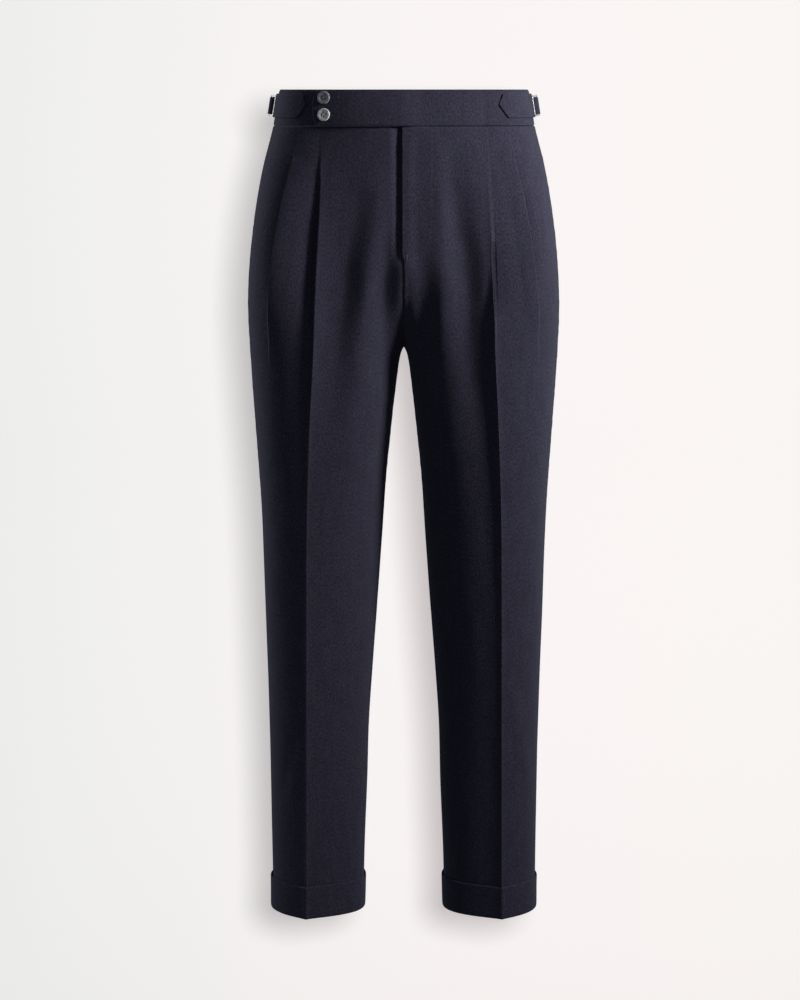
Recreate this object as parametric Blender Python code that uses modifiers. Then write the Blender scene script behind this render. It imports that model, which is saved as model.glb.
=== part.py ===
"""Pleated dress trousers, filled out as they hang on a figure, with turned-up cuffs and side adjusters.

Metres, +Z up. The front faces -Y and the wearer's left leg is at +X. The origin is the centre of the
waistband ring, halfway up the band. Heights are given as a drop below the waistband's top edge.
"""
import math
from collections import namedtuple
from functools import lru_cache

import bmesh
import bpy
from mathutils import Matrix, Vector

# Driving sizes
BAND_HEIGHT = 0.044
TROUSER_LENGTH = 1.060
CUFF_HEIGHT = 0.044
FORK_DROP = 0.322
FORK_Y = 0.008
FLY_END_DROP = 0.206

PANEL_WALL = 0.0015
BAND_WALL = 0.0030
CUFF_WALL = 0.0022
TAB_WALL = 0.0020
SEAM_GAP = 0.0003
LAY_GAP = 0.0005

BUTTON_RADIUS = 0.0080
BUTTON_THICKNESS = 0.0030
BUCKLE_HEIGHT = 0.0240
BUCKLE_WIDTH = 0.0200
BUCKLE_THICKNESS = 0.0018

WAIST_TOP = BAND_HEIGHT / 2
CUFF_TOP_DROP = TROUSER_LENGTH - CUFF_HEIGHT

# One leg's outline, level by level, for the leg at +X. "side" is the widest point, "front" and "back" the
# crease lines. The slopes, in degrees, are how far the cloth falls away from each crease on its outer and
# inner side; a negative slope bulges on past the crease towards the centre. "full", above 1, squares the round
# of the inner side, and "square" that of the front's outer side.
Section = namedtuple(
    "Section", "drop side front_x front_y front_out front_in back_x back_y back_out back_in full square"
)
SECTIONS = (
    Section(0.000, 0.1555, 0.0970, -0.0920, 13, -21, 0.0880, 0.0930, 25, -25, 1.00, 1.15),
    Section(0.044, 0.1632, 0.0985, -0.0970, 13, -20, 0.0900, 0.0985, 25, -23, 1.00, 1.22),
    Section(0.092, 0.1753, 0.1008, -0.1055, 11, -13, 0.0920, 0.1095, 24, -14, 1.00, 1.34),
    Section(0.140, 0.1840, 0.1035, -0.1120, 9, -8, 0.0935, 0.1180, 23, -7, 1.00, 1.42),
    Section(0.200, 0.1915, 0.1072, -0.1170, 8, -2, 0.0950, 0.1250, 22, -2, 1.08, 1.44),
    Section(0.262, 0.1951, 0.1100, -0.1180, 8, 1, 0.0945, 0.1260, 20, 4, 1.26, 1.40),
    Section(0.322, 0.1944, 0.1118, -0.1140, 9, 2, 0.0925, 0.1150, 18, 9, 1.38, 1.32),
    Section(0.420, 0.1886, 0.1170, -0.1040, 11, 3, 0.0890, 0.0980, 17, 12, 1.28, 1.27),
    Section(0.530, 0.1820, 0.1212, -0.0910, 13, 5, 0.0880, 0.0860, 18, 14, 1.12, 1.22),
    Section(0.665, 0.1782, 0.1232, -0.0780, 16, 10, 0.0905, 0.0775, 18, 16, 1.00, 1.18),
    Section(0.825, 0.1742, 0.1246, -0.0680, 19, 15, 0.0960, 0.0710, 19, 17, 1.00, 1.08),
    Section(1.016, 0.1722, 0.1262, -0.0600, 27, 18, 0.0990, 0.0655, 20, 18, 1.00, 1.00),
    Section(1.060, 0.1724, 0.1268, -0.0585, 28, 18, 0.1000, 0.0645, 20, 18, 1.00, 1.00),
)

# The centre front and centre back seams, down to where the legs start to part
Rise = namedtuple("Rise", "drop front_y back_y")
RISE = (
    Rise(0.000, -0.1070, 0.1090),
    Rise(0.044, -0.1130, 0.1155),
    Rise(0.140, -0.1180, 0.1205),
    Rise(0.200, -0.1190, 0.1220),
)
PARTING_DROP = RISE[-1].drop
FORK_SPREAD = 0.45

# The innermost point of the leg below the fork
Inner = namedtuple("Inner", "drop x y")
INNER = (
    Inner(0.322, 0.0003, 0.0080),
    Inner(0.330, 0.0036, 0.0078),
    Inner(0.345, 0.0066, 0.0070),
    Inner(0.376, 0.0106, 0.0050),
    Inner(0.420, 0.0158, 0.0020),
    Inner(0.492, 0.0230, 0.0000),
    Inner(0.570, 0.0283, 0.0000),
    Inner(0.650, 0.0338, 0.0000),
    Inner(0.730, 0.0402, 0.0000),
    Inner(0.809, 0.0455, 0.0000),
    Inner(0.889, 0.0476, 0.0000),
    Inner(0.970, 0.0508, 0.0000),
    Inner(1.060, 0.0534, 0.0000),
)

# Where the seams run round the outline: 0 at the side, 1 at the front crease, 2 at the inside of the leg
Seams = namedtuple("Seams", "drop side inseam pocket_mouth")
SEAMS = (
    Seams(0.000, 0.10, 2.00, 0.36),
    Seams(0.044, 0.10, 2.00, 0.36),
    Seams(0.092, 0.11, 2.00, 0.27),
    Seams(0.140, 0.12, 2.00, 0.19),
    Seams(0.190, 0.13, 2.00, 0.14),
    Seams(0.322, 0.16, 2.00, 0.16),
    Seams(0.430, 0.14, 1.99, 0.14),
    Seams(0.560, 0.02, 1.95, 0.02),
    Seams(0.730, -0.10, 1.89, -0.10),
    Seams(0.900, -0.16, 1.83, -0.16),
    Seams(1.060, -0.18, 1.80, -0.18),
)
POCKET_END_DROP = 0.190

# Reverse pleats: the fold's edge faces the side, "beyond" the crease line as seen from the front, and stands
# above the cloth on its outer side, which is set back by the depth over one step and then rises again. They
# are pressed shut at the waistband and open a little way below it.
Pleat = namedtuple("Pleat", "drop beyond depth step")
MAIN_PLEAT_FADE = 0.014
MAIN_PLEAT = (
    Pleat(0.044, 0.0, 0.0005, 0.0020),
    Pleat(0.074, 0.0, 0.0006, 0.0020),
    Pleat(0.090, 0.0, 0.0040, 0.0022),
    Pleat(0.120, 0.0, 0.0058, 0.0024),
    Pleat(0.200, 0.0, 0.0074, 0.0026),
    Pleat(0.262, 0.0, 0.0070, 0.0028),
    Pleat(0.322, 0.0, 0.0050, 0.0032),
    Pleat(0.420, 0.0, 0.0020, 0.0040),
    Pleat(0.505, 0.0, 0.0000, 0.0080),
)
SIDE_PLEAT_FADE = 0.011
SIDE_PLEAT = (
    Pleat(0.044, 0.0270, 0.0005, 0.0020),
    Pleat(0.078, 0.0333, 0.0006, 0.0020),
    Pleat(0.094, 0.0363, 0.0036, 0.0022),
    Pleat(0.140, 0.0443, 0.0058, 0.0022),
    Pleat(0.206, 0.0505, 0.0058, 0.0024),
    Pleat(0.262, 0.0535, 0.0034, 0.0028),
    Pleat(0.345, 0.0530, 0.0000, 0.0060),
    Pleat(0.505, 0.0400, 0.0000, 0.0080),
    Pleat(1.060, 0.0270, 0.0000, 0.0080),
)

# Soft folds of the front panels, from a top point to a low one; a negative height is a trough
Fold = namedtuple("Fold", "side top_x top_drop low_x low_drop half_width height")
FOLDS = (
    Fold("right", 0.059, 0.150, 0.086, 0.345, 0.015, -0.0062),
    Fold("right", 0.035, 0.130, 0.052, 0.290, 0.010, 0.0018),
    Fold("right", 0.017, 0.165, 0.026, 0.300, 0.010, -0.0040),
    Fold("left", 0.064, 0.150, 0.080, 0.350, 0.015, -0.0064),
    Fold("left", 0.080, 0.350, 0.097, 0.560, 0.015, -0.0030),
    Fold("left", 0.044, 0.120, 0.048, 0.310, 0.010, 0.0012),
    Fold("left", 0.022, 0.220, 0.023, 0.330, 0.011, -0.0042),
)

# The fly: the left front's edge meets the centre line, over the right front, which is set back under it
FLY_LAP_X = 0.0003
FLY_UNDERLAP_X = 0.0050
FLY_SETBACK = 0.0040
FLY_SETBACK_START_X = 0.0300

# The closing tab: the left waistband past the centre front, over the right one, with a rounded end
TabEnd = namedtuple("TabEnd", "drop x")
TAB_END = (
    TabEnd(0.000, 0.1035),
    TabEnd(0.008, 0.1085),
    TabEnd(0.018, 0.1110),
    TabEnd(0.030, 0.1105),
    TabEnd(0.044, 0.1070),
)
TAB_LIFT = BAND_WALL + LAY_GAP
TAB_RAMP_X = 0.0150
BAND_END_X = 0.0100

BUTTON_X = -0.0963
BUTTON_DROPS = {"button_upper": 0.0084, "button_lower": 0.0290}
BUTTON_SIDES = 24
BUTTON_HOLE_RING = 0.0021
BUTTON_HOLE_RADIUS = 0.0007

# The adjusters' pointed tabs, as seen from the front
ADJUSTER_TIP_X = 0.1160
ADJUSTER_TIP_DROP = 0.0165
ADJUSTER_TOP_DROP = 0.0050
ADJUSTER_LOW_DROP = 0.0320
ADJUSTER_TOP_SLANT = 0.0070
ADJUSTER_LOW_SLANT = 0.0100
ADJUSTER_TIP_BLUNT = 0.0008
ADJUSTER_REAR = 0.13
STRAP_FRONT = 0.05
STRAP_REAR = -0.62
STRAP_HALF_HEIGHT = 0.0095
BUCKLE_DROP = 0.0185
BUCKLE_PLACE = 0.02
BUCKLE_LIFT = 0.0050
BUCKLE_TILT = 18
BUCKLE_BAR = 0.0022
BUCKLE_CORNER = 0.0030
CORNER_STEPS = 3

PANEL_DROPS = (0.060, 0.074, 0.084, 0.100, 0.122, 0.146, 0.170, 0.190, 0.198, 0.208)
PARTING_ROWS_DROP = 0.222
PARTING_ANGLES = (0, 18, 36, 54, 72)
LEG_DROPS = (0.330, 0.345, 0.372, 0.408, 0.455, 0.508, 0.570, 0.640, 0.720, 0.805, 0.890, 0.975)
OUTER_COLUMNS = (1, 3, 1, 4, 1)
INNER_COLUMNS = 10
BACK_COLUMNS = (1, 5, 5, 1)
SEAM_MARGIN = 0.002
PANEL_END_STEP = 0.002
CUFF_ROWS = 3
CUFF_GAP = 0.0005
BAND_ROWS = 3
FACING_UNDERLAP = 0.07
FACING_GAP = 0.0010
FACING_TOP_STEP = 0.0010
MIRROR = {"left": 1, "right": -1}

NAVY_WOOL = (0.020, 0.021, 0.036, 1.0)
NAVY_FACING = (0.017, 0.018, 0.031, 1.0)
BRIGHT_METAL = (0.62, 0.61, 0.58, 1.0)
GREY_HORN = (0.16, 0.16, 0.17, 1.0)


# Curves and tables

def smooth_row(rows, drop):
    """Read a table at any drop, along smooth curves through its rows."""
    kind = type(rows[0])
    if drop <= rows[0].drop:
        return rows[0]
    if drop >= rows[-1].drop:
        return rows[-1]
    below = next(i for i, row in enumerate(rows) if row.drop >= drop)
    a, b = rows[below - 1], rows[below]
    before = rows[max(below - 2, 0)]
    after = rows[min(below + 1, len(rows) - 1)]
    span = b.drop - a.drop
    u = (drop - a.drop) / span
    values = []
    for p, q, r, s in zip(before, a, b, after):
        leave = (r - p) / (b.drop - before.drop) * span
        arrive = (s - q) / (after.drop - a.drop) * span
        values.append(q * (2 * u ** 3 - 3 * u ** 2 + 1) + leave * (u ** 3 - 2 * u ** 2 + u)
                      + r * (3 * u ** 2 - 2 * u ** 3) + arrive * (u ** 3 - u ** 2))
    return kind(*values)


def ease(value, start, end):
    """0 at start, 1 at end, with a soft rise between."""
    u = min(max((value - start) / (end - start), 0.0), 1.0)
    return u * u * (3 - 2 * u)


def heading(degrees, outward):
    """Direction of the outline at a crease: along X, falling away from the crease by the slope."""
    angle = math.radians(degrees)
    return Vector((math.cos(angle) * outward, math.sin(angle)))


def arc(start, leave, end, arrive, u, full=1.0):
    """Point at u on a curve whose ends have the given directions."""
    turn = leave.angle(arrive)
    reach = 1 / 3 if turn < 0.01 else 2 / 3 * math.tan(turn / 4) / math.sin(turn / 2)
    handle = full * reach * (end - start).length
    p1 = start + leave * handle
    p2 = end - arrive * handle
    v = 1 - u
    return start * v ** 3 + p1 * (3 * v * v * u) + p2 * (3 * v * u * u) + end * u ** 3


# The body of the cloth

def crease_line(drop, sign):
    """The crease at one level, with the outline's headings as it reaches it and as it goes on inwards."""
    row = smooth_row(SECTIONS, drop)
    if sign > 0:
        point, out_slope, in_slope = Vector((row.front_x, row.front_y)), row.front_out, row.front_in
    else:
        point, out_slope, in_slope = Vector((row.back_x, row.back_y)), row.back_out, row.back_in
    toward = heading(out_slope, 1)
    away = heading(in_slope, -1)
    return point, Vector((-toward.x, -sign * toward.y)), Vector((away.x, sign * away.y))


def leg_end(drop):
    """The innermost point of the leg by itself, which above the fork lies past the centre."""
    if drop >= FORK_DROP:
        inner = smooth_row(INNER, drop)
        return Vector((inner.x, inner.y))
    return Vector((SEAM_GAP / 2 - (FORK_DROP - drop) * FORK_SPREAD, FORK_Y))


def leg_arc(drop, sign, u):
    """Point from the crease to the innermost point of the leg by itself."""
    crease, _, leave = crease_line(drop, sign)
    full = smooth_row(SECTIONS, drop).full
    return arc(crease, leave, leg_end(drop), Vector((0, sign)), u, full)


@lru_cache(maxsize=None)
def leg_meets_centre(drop, sign):
    """How far along its own arc a leg meets the centre line."""
    low, high = 0.0, 1.0
    for _ in range(26):
        middle = (low + high) / 2
        if leg_arc(drop, sign, middle).x > SEAM_GAP / 2:
            low = middle
        else:
            high = middle
    return (low + high) / 2


def inner_arc(drop, sign, u):
    """Point from the crease to the centre seam, or below the fork to the inside of the leg."""
    if drop >= FORK_DROP:
        return leg_arc(drop, sign, u)
    rise = smooth_row(RISE, drop)
    crease, _, leave = crease_line(drop, sign)
    centre = Vector((SEAM_GAP / 2, rise.front_y if sign > 0 else rise.back_y))
    joined = arc(crease, leave, centre, Vector((-1, 0)), u)
    parting = ease(drop, PARTING_DROP, FORK_DROP)
    if parting == 0:
        return joined
    parted = leg_arc(drop, sign, u * leg_meets_centre(drop, sign))
    return joined + (parted - joined) * parting


def outline(place, drop):
    """Point on the leg's outline: 0 side, 1 front crease, 2 inner end, -1 back crease, -2 inner end."""
    sign = 1 if place >= 0 else -1
    reach = abs(place)
    if reach <= 1:
        crease, arrive, _ = crease_line(drop, sign)
        row = smooth_row(SECTIONS, drop)
        return arc(Vector((row.side, 0)), Vector((0, -sign)), crease, arrive, reach, row.square if sign > 0 else 1)
    if reach <= 2:
        return inner_arc(drop, sign, reach - 1)
    if drop >= FORK_DROP:
        return outline(place - 4 * sign, drop)
    mirrored = inner_arc(drop, sign, 3 - reach)
    return Vector((-mirrored.x, mirrored.y))


def normal(place, drop):
    """Outward direction of the outline at a place."""
    step = 0.004
    along = outline(place + step, drop) - outline(place - step, drop)
    return Vector((-along.y, along.x)).normalized()


def surface(side, place, drop, lift=0.0):
    """Point of the cloth's outer face on one leg, moved out by the lift."""
    point = outline(place, drop) + normal(place, drop) * lift
    return Vector((point.x * MIRROR[side], point.y, WAIST_TOP - drop))


def place_at(x, drop):
    """Place on the front half of the outline that lies x from the centre."""
    low, high = 0.0, 2.0
    for _ in range(26):
        middle = (low + high) / 2
        if outline(middle, drop).x > x:
            low = middle
        else:
            high = middle
    return (low + high) / 2


# Relief of the front panels

def pleat_lift(pleats, fade, x, drop):
    """How far a pleat's underlay is set back at x."""
    pleat = smooth_row(pleats, drop)
    beyond = x - smooth_row(SECTIONS, drop).front_x - pleat.beyond
    if beyond < 0.00001 or pleat.depth <= 0:
        return 0.0
    if beyond < pleat.step:
        return -pleat.depth * beyond / pleat.step
    return -pleat.depth * math.exp(-(beyond - pleat.step) / fade)


def fold_lift(side, x, drop):
    """Sum of the soft folds of one front panel at a point."""
    total = 0.0
    for fold in FOLDS:
        if fold.side != side:
            continue
        run = (drop - fold.top_drop) / (fold.low_drop - fold.top_drop)
        if run < -0.3 or run > 1.3:
            continue
        axis_x = fold.top_x + (fold.low_x - fold.top_x) * run
        across = math.exp(-((x - axis_x) / fold.half_width) ** 2)
        ends = ease(run, -0.3, 0.3) * (1 - ease(run, 0.7, 1.3))
        total += fold.height * across * ends
    return total


def lap(drop):
    """1 along the fly, 0 below its end."""
    return 1 - ease(drop, FLY_END_DROP - 0.009, FLY_END_DROP + 0.002)


def front_lift(side, x, drop):
    """Relief of a front panel, from the fly, the pleats and the folds."""
    total = pleat_lift(MAIN_PLEAT, MAIN_PLEAT_FADE, x, drop)
    total += pleat_lift(SIDE_PLEAT, SIDE_PLEAT_FADE, x, drop)
    total += fold_lift(side, x, drop)
    if side == "right":
        under = 1 - ease(x, FLY_UNDERLAP_X - 0.001, FLY_SETBACK_START_X)
        total -= FLY_SETBACK * under * (1 - ease(drop, FLY_END_DROP + 0.004, FLY_END_DROP + 0.018))
    return total


# Building

def make_material(name, color, roughness, metallic=0.0):
    material = bpy.data.materials.new(name)
    material.use_nodes = True
    shader = material.node_tree.nodes["Principled BSDF"]
    shader.inputs["Base Color"].default_value = color
    shader.inputs["Roughness"].default_value = roughness
    shader.inputs["Metallic"].default_value = metallic
    return material


def add_object(name, mesh, material, collection):
    part = bpy.data.objects.new(name, mesh)
    part.data.materials.append(material)
    collection.objects.link(part)
    return part


def cloth_wall(name, rows, thickness, material, collection, ring=False, flip=False):
    """An open grid of outer-face points, thickened inwards."""
    form = bmesh.new()
    grid = [[form.verts.new(point) for point in row] for row in rows]
    for upper, lower in zip(grid, grid[1:]):
        count = len(upper) if ring else len(upper) - 1
        for i in range(count):
            j = (i + 1) % len(upper)
            corners = (upper[i], upper[j], lower[j], lower[i])
            form.faces.new(corners[::-1] if flip else corners)
    mesh = bpy.data.meshes.new(name)
    form.to_mesh(mesh)
    form.free()
    mesh.shade_smooth()
    part = add_object(name, mesh, material, collection)
    wall = part.modifiers.new("wall", "SOLIDIFY")
    wall.thickness = thickness
    wall.offset = -1
    return part


def spread(stops, counts):
    """Values at the stops, with each stretch between them divided evenly."""
    values = []
    for start, end, count in zip(stops, stops[1:], counts):
        values += [start + (end - start) * i / count for i in range(count)]
    return values + [stops[-1]]


def panel_drops():
    """Levels of the panels' rows, closer together where the rise turns under."""
    depth = FORK_DROP - PARTING_ROWS_DROP
    parting = [PARTING_ROWS_DROP + depth * math.sin(math.radians(angle)) for angle in PARTING_ANGLES]
    top = BAND_HEIGHT + SEAM_GAP
    return [top, *PANEL_DROPS, *parting, FORK_DROP, *LEG_DROPS, TROUSER_LENGTH - PANEL_END_STEP]


def place_per_metre(drop, place):
    """How much place changes along a metre of the outline."""
    length = (outline(place + 0.01, drop) - outline(place - 0.01, drop)).length
    return 0.02 / max(length, 0.00002)


def inner_places(end, margin, drop):
    """Places from the front crease to the inner edge, bunched at the fly and even further down."""
    bend = place_at(FLY_SETBACK_START_X, drop)
    foot = place_at(FLY_UNDERLAP_X - 0.001, drop)
    bunched = spread((1.0, bend, foot, end), (INNER_COLUMNS - 3, 3, 1))
    even = spread((1.0, end - margin, end), (INNER_COLUMNS, 1))
    blend = ease(drop, PARTING_DROP - 0.02, FORK_DROP - 0.01)
    return [a + (b - a) * blend for a, b in zip(bunched, even)]


def front_places(drop):
    """Columns of a front panel at one level, from the pocket mouth or side seam to the inner edge."""
    seams = smooth_row(SEAMS, drop)
    main = smooth_row(MAIN_PLEAT, drop)
    second = smooth_row(SIDE_PLEAT, drop)
    crease_x = smooth_row(SECTIONS, drop).front_x
    outer = seams.pocket_mouth if drop <= POCKET_END_DROP else seams.side
    unit = place_per_metre(drop, outer)
    start = outer + SEAM_GAP / 2 * unit
    second_x = crease_x + second.beyond
    stops = (
        start,
        start + SEAM_MARGIN * unit,
        place_at(second_x + second.step, drop),
        place_at(second_x, drop),
        place_at(crease_x + main.step, drop),
        1.0,
    )
    unit = place_per_metre(drop, seams.inseam)
    end = seams.inseam - SEAM_GAP / 2 * unit if drop >= FORK_DROP else 2.0
    return spread(stops, OUTER_COLUMNS)[:-1] + inner_places(end, SEAM_MARGIN * unit, drop)


def back_places(drop):
    """Columns of a back panel at one level, from the side seam to the seat seam or inseam."""
    seams = smooth_row(SEAMS, drop)
    unit = place_per_metre(drop, seams.side)
    start = seams.side - SEAM_GAP / 2 * unit
    first = start - SEAM_MARGIN * unit
    unit = place_per_metre(drop, seams.inseam)
    end = seams.inseam - 4 + SEAM_GAP / 2 * unit if drop >= FORK_DROP else -2.0
    return spread((start, first, -1.0, end + SEAM_MARGIN * unit, end), BACK_COLUMNS)


def front_row(side, drop):
    """Points of a front panel at one level."""
    points = []
    for place in front_places(drop):
        x = outline(place, drop).x
        points.append(surface(side, place, drop, front_lift(side, x, drop)))
    reach = FLY_LAP_X if side == "left" else FLY_UNDERLAP_X
    points[-1].x -= MIRROR[side] * (reach + SEAM_GAP / 2) * lap(drop)
    return points


def back_row(side, drop):
    """Points of a back panel at one level."""
    return [surface(side, place, drop) for place in back_places(drop)]


def facing_row(side, drop):
    """Points of a pocket facing: flush at the side seam, then under the front past the pocket's mouth."""
    seams = smooth_row(SEAMS, drop)
    start = seams.side + SEAM_GAP / 2 * place_per_metre(drop, seams.side)
    mouth = seams.pocket_mouth
    bend = start + (mouth - start) * 0.85
    deep = ease(drop, POCKET_END_DROP - 0.045, POCKET_END_DROP - 0.008)
    points = []
    for place in spread((start, bend, mouth + FACING_UNDERLAP), (3, 2)):
        x = outline(place, drop).x
        under = max(ease(place, start, bend), deep)
        lift = front_lift(side, x, drop) - (PANEL_WALL + FACING_GAP) * under
        points.append(surface(side, place, drop, lift))
    return points


def band_x(place, drop):
    """Distance of a waistband place from the centre line; places past 2 are beyond the centre front."""
    return outline(place, drop).x if place <= 2 else -outline(4 - place, drop).x


def band_point(side, place, drop, lift):
    """Point on the waistband, which may run on past the centre front."""
    if place <= 2:
        return surface(side, place, drop, lift)
    other = "right" if side == "left" else "left"
    return surface(other, 4 - place, drop, lift)


def band_row(side, drop):
    """Points of one half of the waistband at one level, from the centre back to its front end."""
    if side == "right":
        end = place_at(BAND_END_X, drop)
        places = spread((-2.0, -1.0, 0.0, 1.0, end), (6, 9, 9, 8))
        return [surface(side, place, drop) for place in places]
    ramp = place_at(TAB_RAMP_X, drop)
    landed = 4 - place_at(BAND_END_X - 0.003, drop)
    end = 4 - place_at(smooth_row(TAB_END, drop).x, drop)
    places = spread((-2.0, -1.0, 0.0, 1.0, ramp, landed, end), (6, 9, 9, 6, 4, 8))
    points = []
    for place in places:
        lift = TAB_LIFT * ease(-band_x(place, drop), -TAB_RAMP_X, 0.003 - BAND_END_X)
        points.append(band_point(side, place, drop, lift))
    return points


def adjuster_rows(side):
    """Grid of an adjuster's pointed tab, from its tip to its end at the buckle."""
    level = (ADJUSTER_TOP_DROP + ADJUSTER_LOW_DROP) / 2
    tip = place_at(ADJUSTER_TIP_X, level)
    top_corner = place_at(ADJUSTER_TIP_X + ADJUSTER_TOP_SLANT, level)
    low_corner = place_at(ADJUSTER_TIP_X + ADJUSTER_LOW_SLANT, level)
    columns = []
    for place in spread((tip, top_corner, low_corner, ADJUSTER_REAR), (1, 1, 8)):
        from_tip = max(outline(place, level).x - ADJUSTER_TIP_X, ADJUSTER_TIP_BLUNT)
        top_share = min(from_tip / ADJUSTER_TOP_SLANT, 1.0)
        low_share = min(from_tip / ADJUSTER_LOW_SLANT, 1.0)
        top = ADJUSTER_TIP_DROP + (ADJUSTER_TOP_DROP - ADJUSTER_TIP_DROP) * top_share
        low = ADJUSTER_TIP_DROP + (ADJUSTER_LOW_DROP - ADJUSTER_TIP_DROP) * low_share
        lift = LAY_GAP + TAB_WALL
        columns.append([surface(side, place, drop, lift) for drop in spread((top, low), (3,))])
    return columns


def strap_rows(side):
    """Grid of an adjuster's strap, from under the buckle to where it is sewn on at the back."""
    lift = LAY_GAP + TAB_WALL
    columns = []
    for place in spread((STRAP_FRONT, STRAP_REAR), (9,)):
        drops = (BUCKLE_DROP - STRAP_HALF_HEIGHT, BUCKLE_DROP + STRAP_HALF_HEIGHT)
        columns.append([surface(side, place, drop, lift) for drop in spread(drops, (2,))])
    return columns


def seat_on(side, place, drop, lift):
    """Placing of a flat piece on the cloth: X forwards round the waist, Y up the cloth, Z outwards."""
    here = surface(side, place, drop, lift)
    along = (surface(side, place + 0.02, drop, lift) - surface(side, place - 0.02, drop, lift)).normalized()
    up = (surface(side, place, drop - 0.004, lift) - surface(side, place, drop + 0.004, lift)).normalized()
    out = along.cross(up)
    if out.dot(Vector((here.x, here.y, 0))) < 0:
        along, out = -along, -out
    up = out.cross(along)
    turn = Matrix((along, up, out)).transposed()
    return Matrix.Translation(here) @ turn.to_4x4()


def rounded_rectangle(width, height, radius, centre_x=0.0):
    """Corner points of a rounded rectangle, anticlockwise."""
    points = []
    for corner in range(4):
        cx = (width / 2 - radius) * (1 if corner in (0, 3) else -1)
        cy = (height / 2 - radius) * (1 if corner in (0, 1) else -1)
        for step in range(CORNER_STEPS + 1):
            angle = math.pi / 2 * (corner + step / CORNER_STEPS)
            points.append((centre_x + cx + radius * math.cos(angle), cy + radius * math.sin(angle)))
    return points


def build_buckle(side, material, collection):
    """A flat slide buckle with two slots and a middle bar, at the side, its rear end pulled off the band."""
    curve = bpy.data.curves.new("buckle_" + side, "CURVE")
    curve.dimensions = "2D"
    curve.fill_mode = "BOTH"
    curve.extrude = BUCKLE_THICKNESS / 2
    slot_width = (BUCKLE_WIDTH - 3 * BUCKLE_BAR) / 2
    slot_height = BUCKLE_HEIGHT - 2 * BUCKLE_BAR
    slot_x = (slot_width + BUCKLE_BAR) / 2
    loops = [
        rounded_rectangle(BUCKLE_WIDTH, BUCKLE_HEIGHT, BUCKLE_CORNER),
        rounded_rectangle(slot_width, slot_height, BUCKLE_CORNER / 2, slot_x),
        rounded_rectangle(slot_width, slot_height, BUCKLE_CORNER / 2, -slot_x),
    ]
    for loop in loops:
        spline = curve.splines.new("POLY")
        spline.points.add(len(loop) - 1)
        for point, (x, y) in zip(spline.points, loop):
            point.co = (x, y, 0, 1)
        spline.use_cyclic_u = True
    curve.materials.append(material)
    buckle = bpy.data.objects.new("buckle_" + side, curve)
    collection.objects.link(buckle)
    tilt = Matrix.Rotation(math.radians(-MIRROR[side] * BUCKLE_TILT), 4, "Y")
    buckle.matrix_world = seat_on(side, BUCKLE_PLACE, BUCKLE_DROP, BUCKLE_LIFT) @ tilt


def build_button(name, drop, material, collection, cutters):
    """A turned button with a raised rim and four holes."""
    profile = (
        (0.0, 0.62), (0.55, 0.62), (0.70, 0.95), (0.86, 1.0), (0.97, 0.80),
        (1.0, 0.50), (0.92, 0.12), (0.60, 0.0), (0.0, 0.0),
    )
    form = bmesh.new()
    verts = [form.verts.new((r * BUTTON_RADIUS, 0, h * BUTTON_THICKNESS)) for r, h in profile]
    for upper, lower in zip(verts, verts[1:]):
        form.edges.new((upper, lower))
    mesh = bpy.data.meshes.new(name)
    form.to_mesh(mesh)
    form.free()
    button = add_object(name, mesh, material, collection)
    turn = button.modifiers.new("turn", "SCREW")
    turn.steps = BUTTON_SIDES
    turn.render_steps = BUTTON_SIDES
    turn.use_merge_vertices = True
    turn.merge_threshold = 0.00005
    holes = bmesh.new()
    for corner in range(4):
        angle = math.pi / 4 + corner * math.pi / 2
        centre = Vector((math.cos(angle), math.sin(angle), 0)) * BUTTON_HOLE_RING
        centre.z = BUTTON_THICKNESS / 2
        bmesh.ops.create_cone(
            holes, cap_ends=True, segments=8, radius1=BUTTON_HOLE_RADIUS, radius2=BUTTON_HOLE_RADIUS,
            depth=BUTTON_THICKNESS * 3, matrix=Matrix.Translation(centre),
        )
    hole_mesh = bpy.data.meshes.new(name + "_holes")
    holes.to_mesh(hole_mesh)
    holes.free()
    cutter = bpy.data.objects.new(name + "_holes", hole_mesh)
    cutters.objects.link(cutter)
    cutter.hide_render = True
    cutter.display_type = "WIRE"
    drill = button.modifiers.new("holes", "BOOLEAN")
    drill.object = cutter
    drill.operation = "DIFFERENCE"
    seat = seat_on("right", place_at(-BUTTON_X, drop), drop, TAB_LIFT + LAY_GAP)
    button.matrix_world = seat
    cutter.matrix_world = seat


def build_cuff(side, material, collection):
    """A turned-up cuff: a ring outside the end of the leg."""
    rows = []
    for drop in spread((CUFF_TOP_DROP, TROUSER_LENGTH), (CUFF_ROWS,)):
        places = front_places(drop) + back_places(drop)[::-1]
        rows.append([surface(side, place, drop, CUFF_WALL + CUFF_GAP) for place in places])
    cloth_wall("cuff_" + side, rows, CUFF_WALL, material, collection, ring=True, flip=side == "right")


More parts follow.
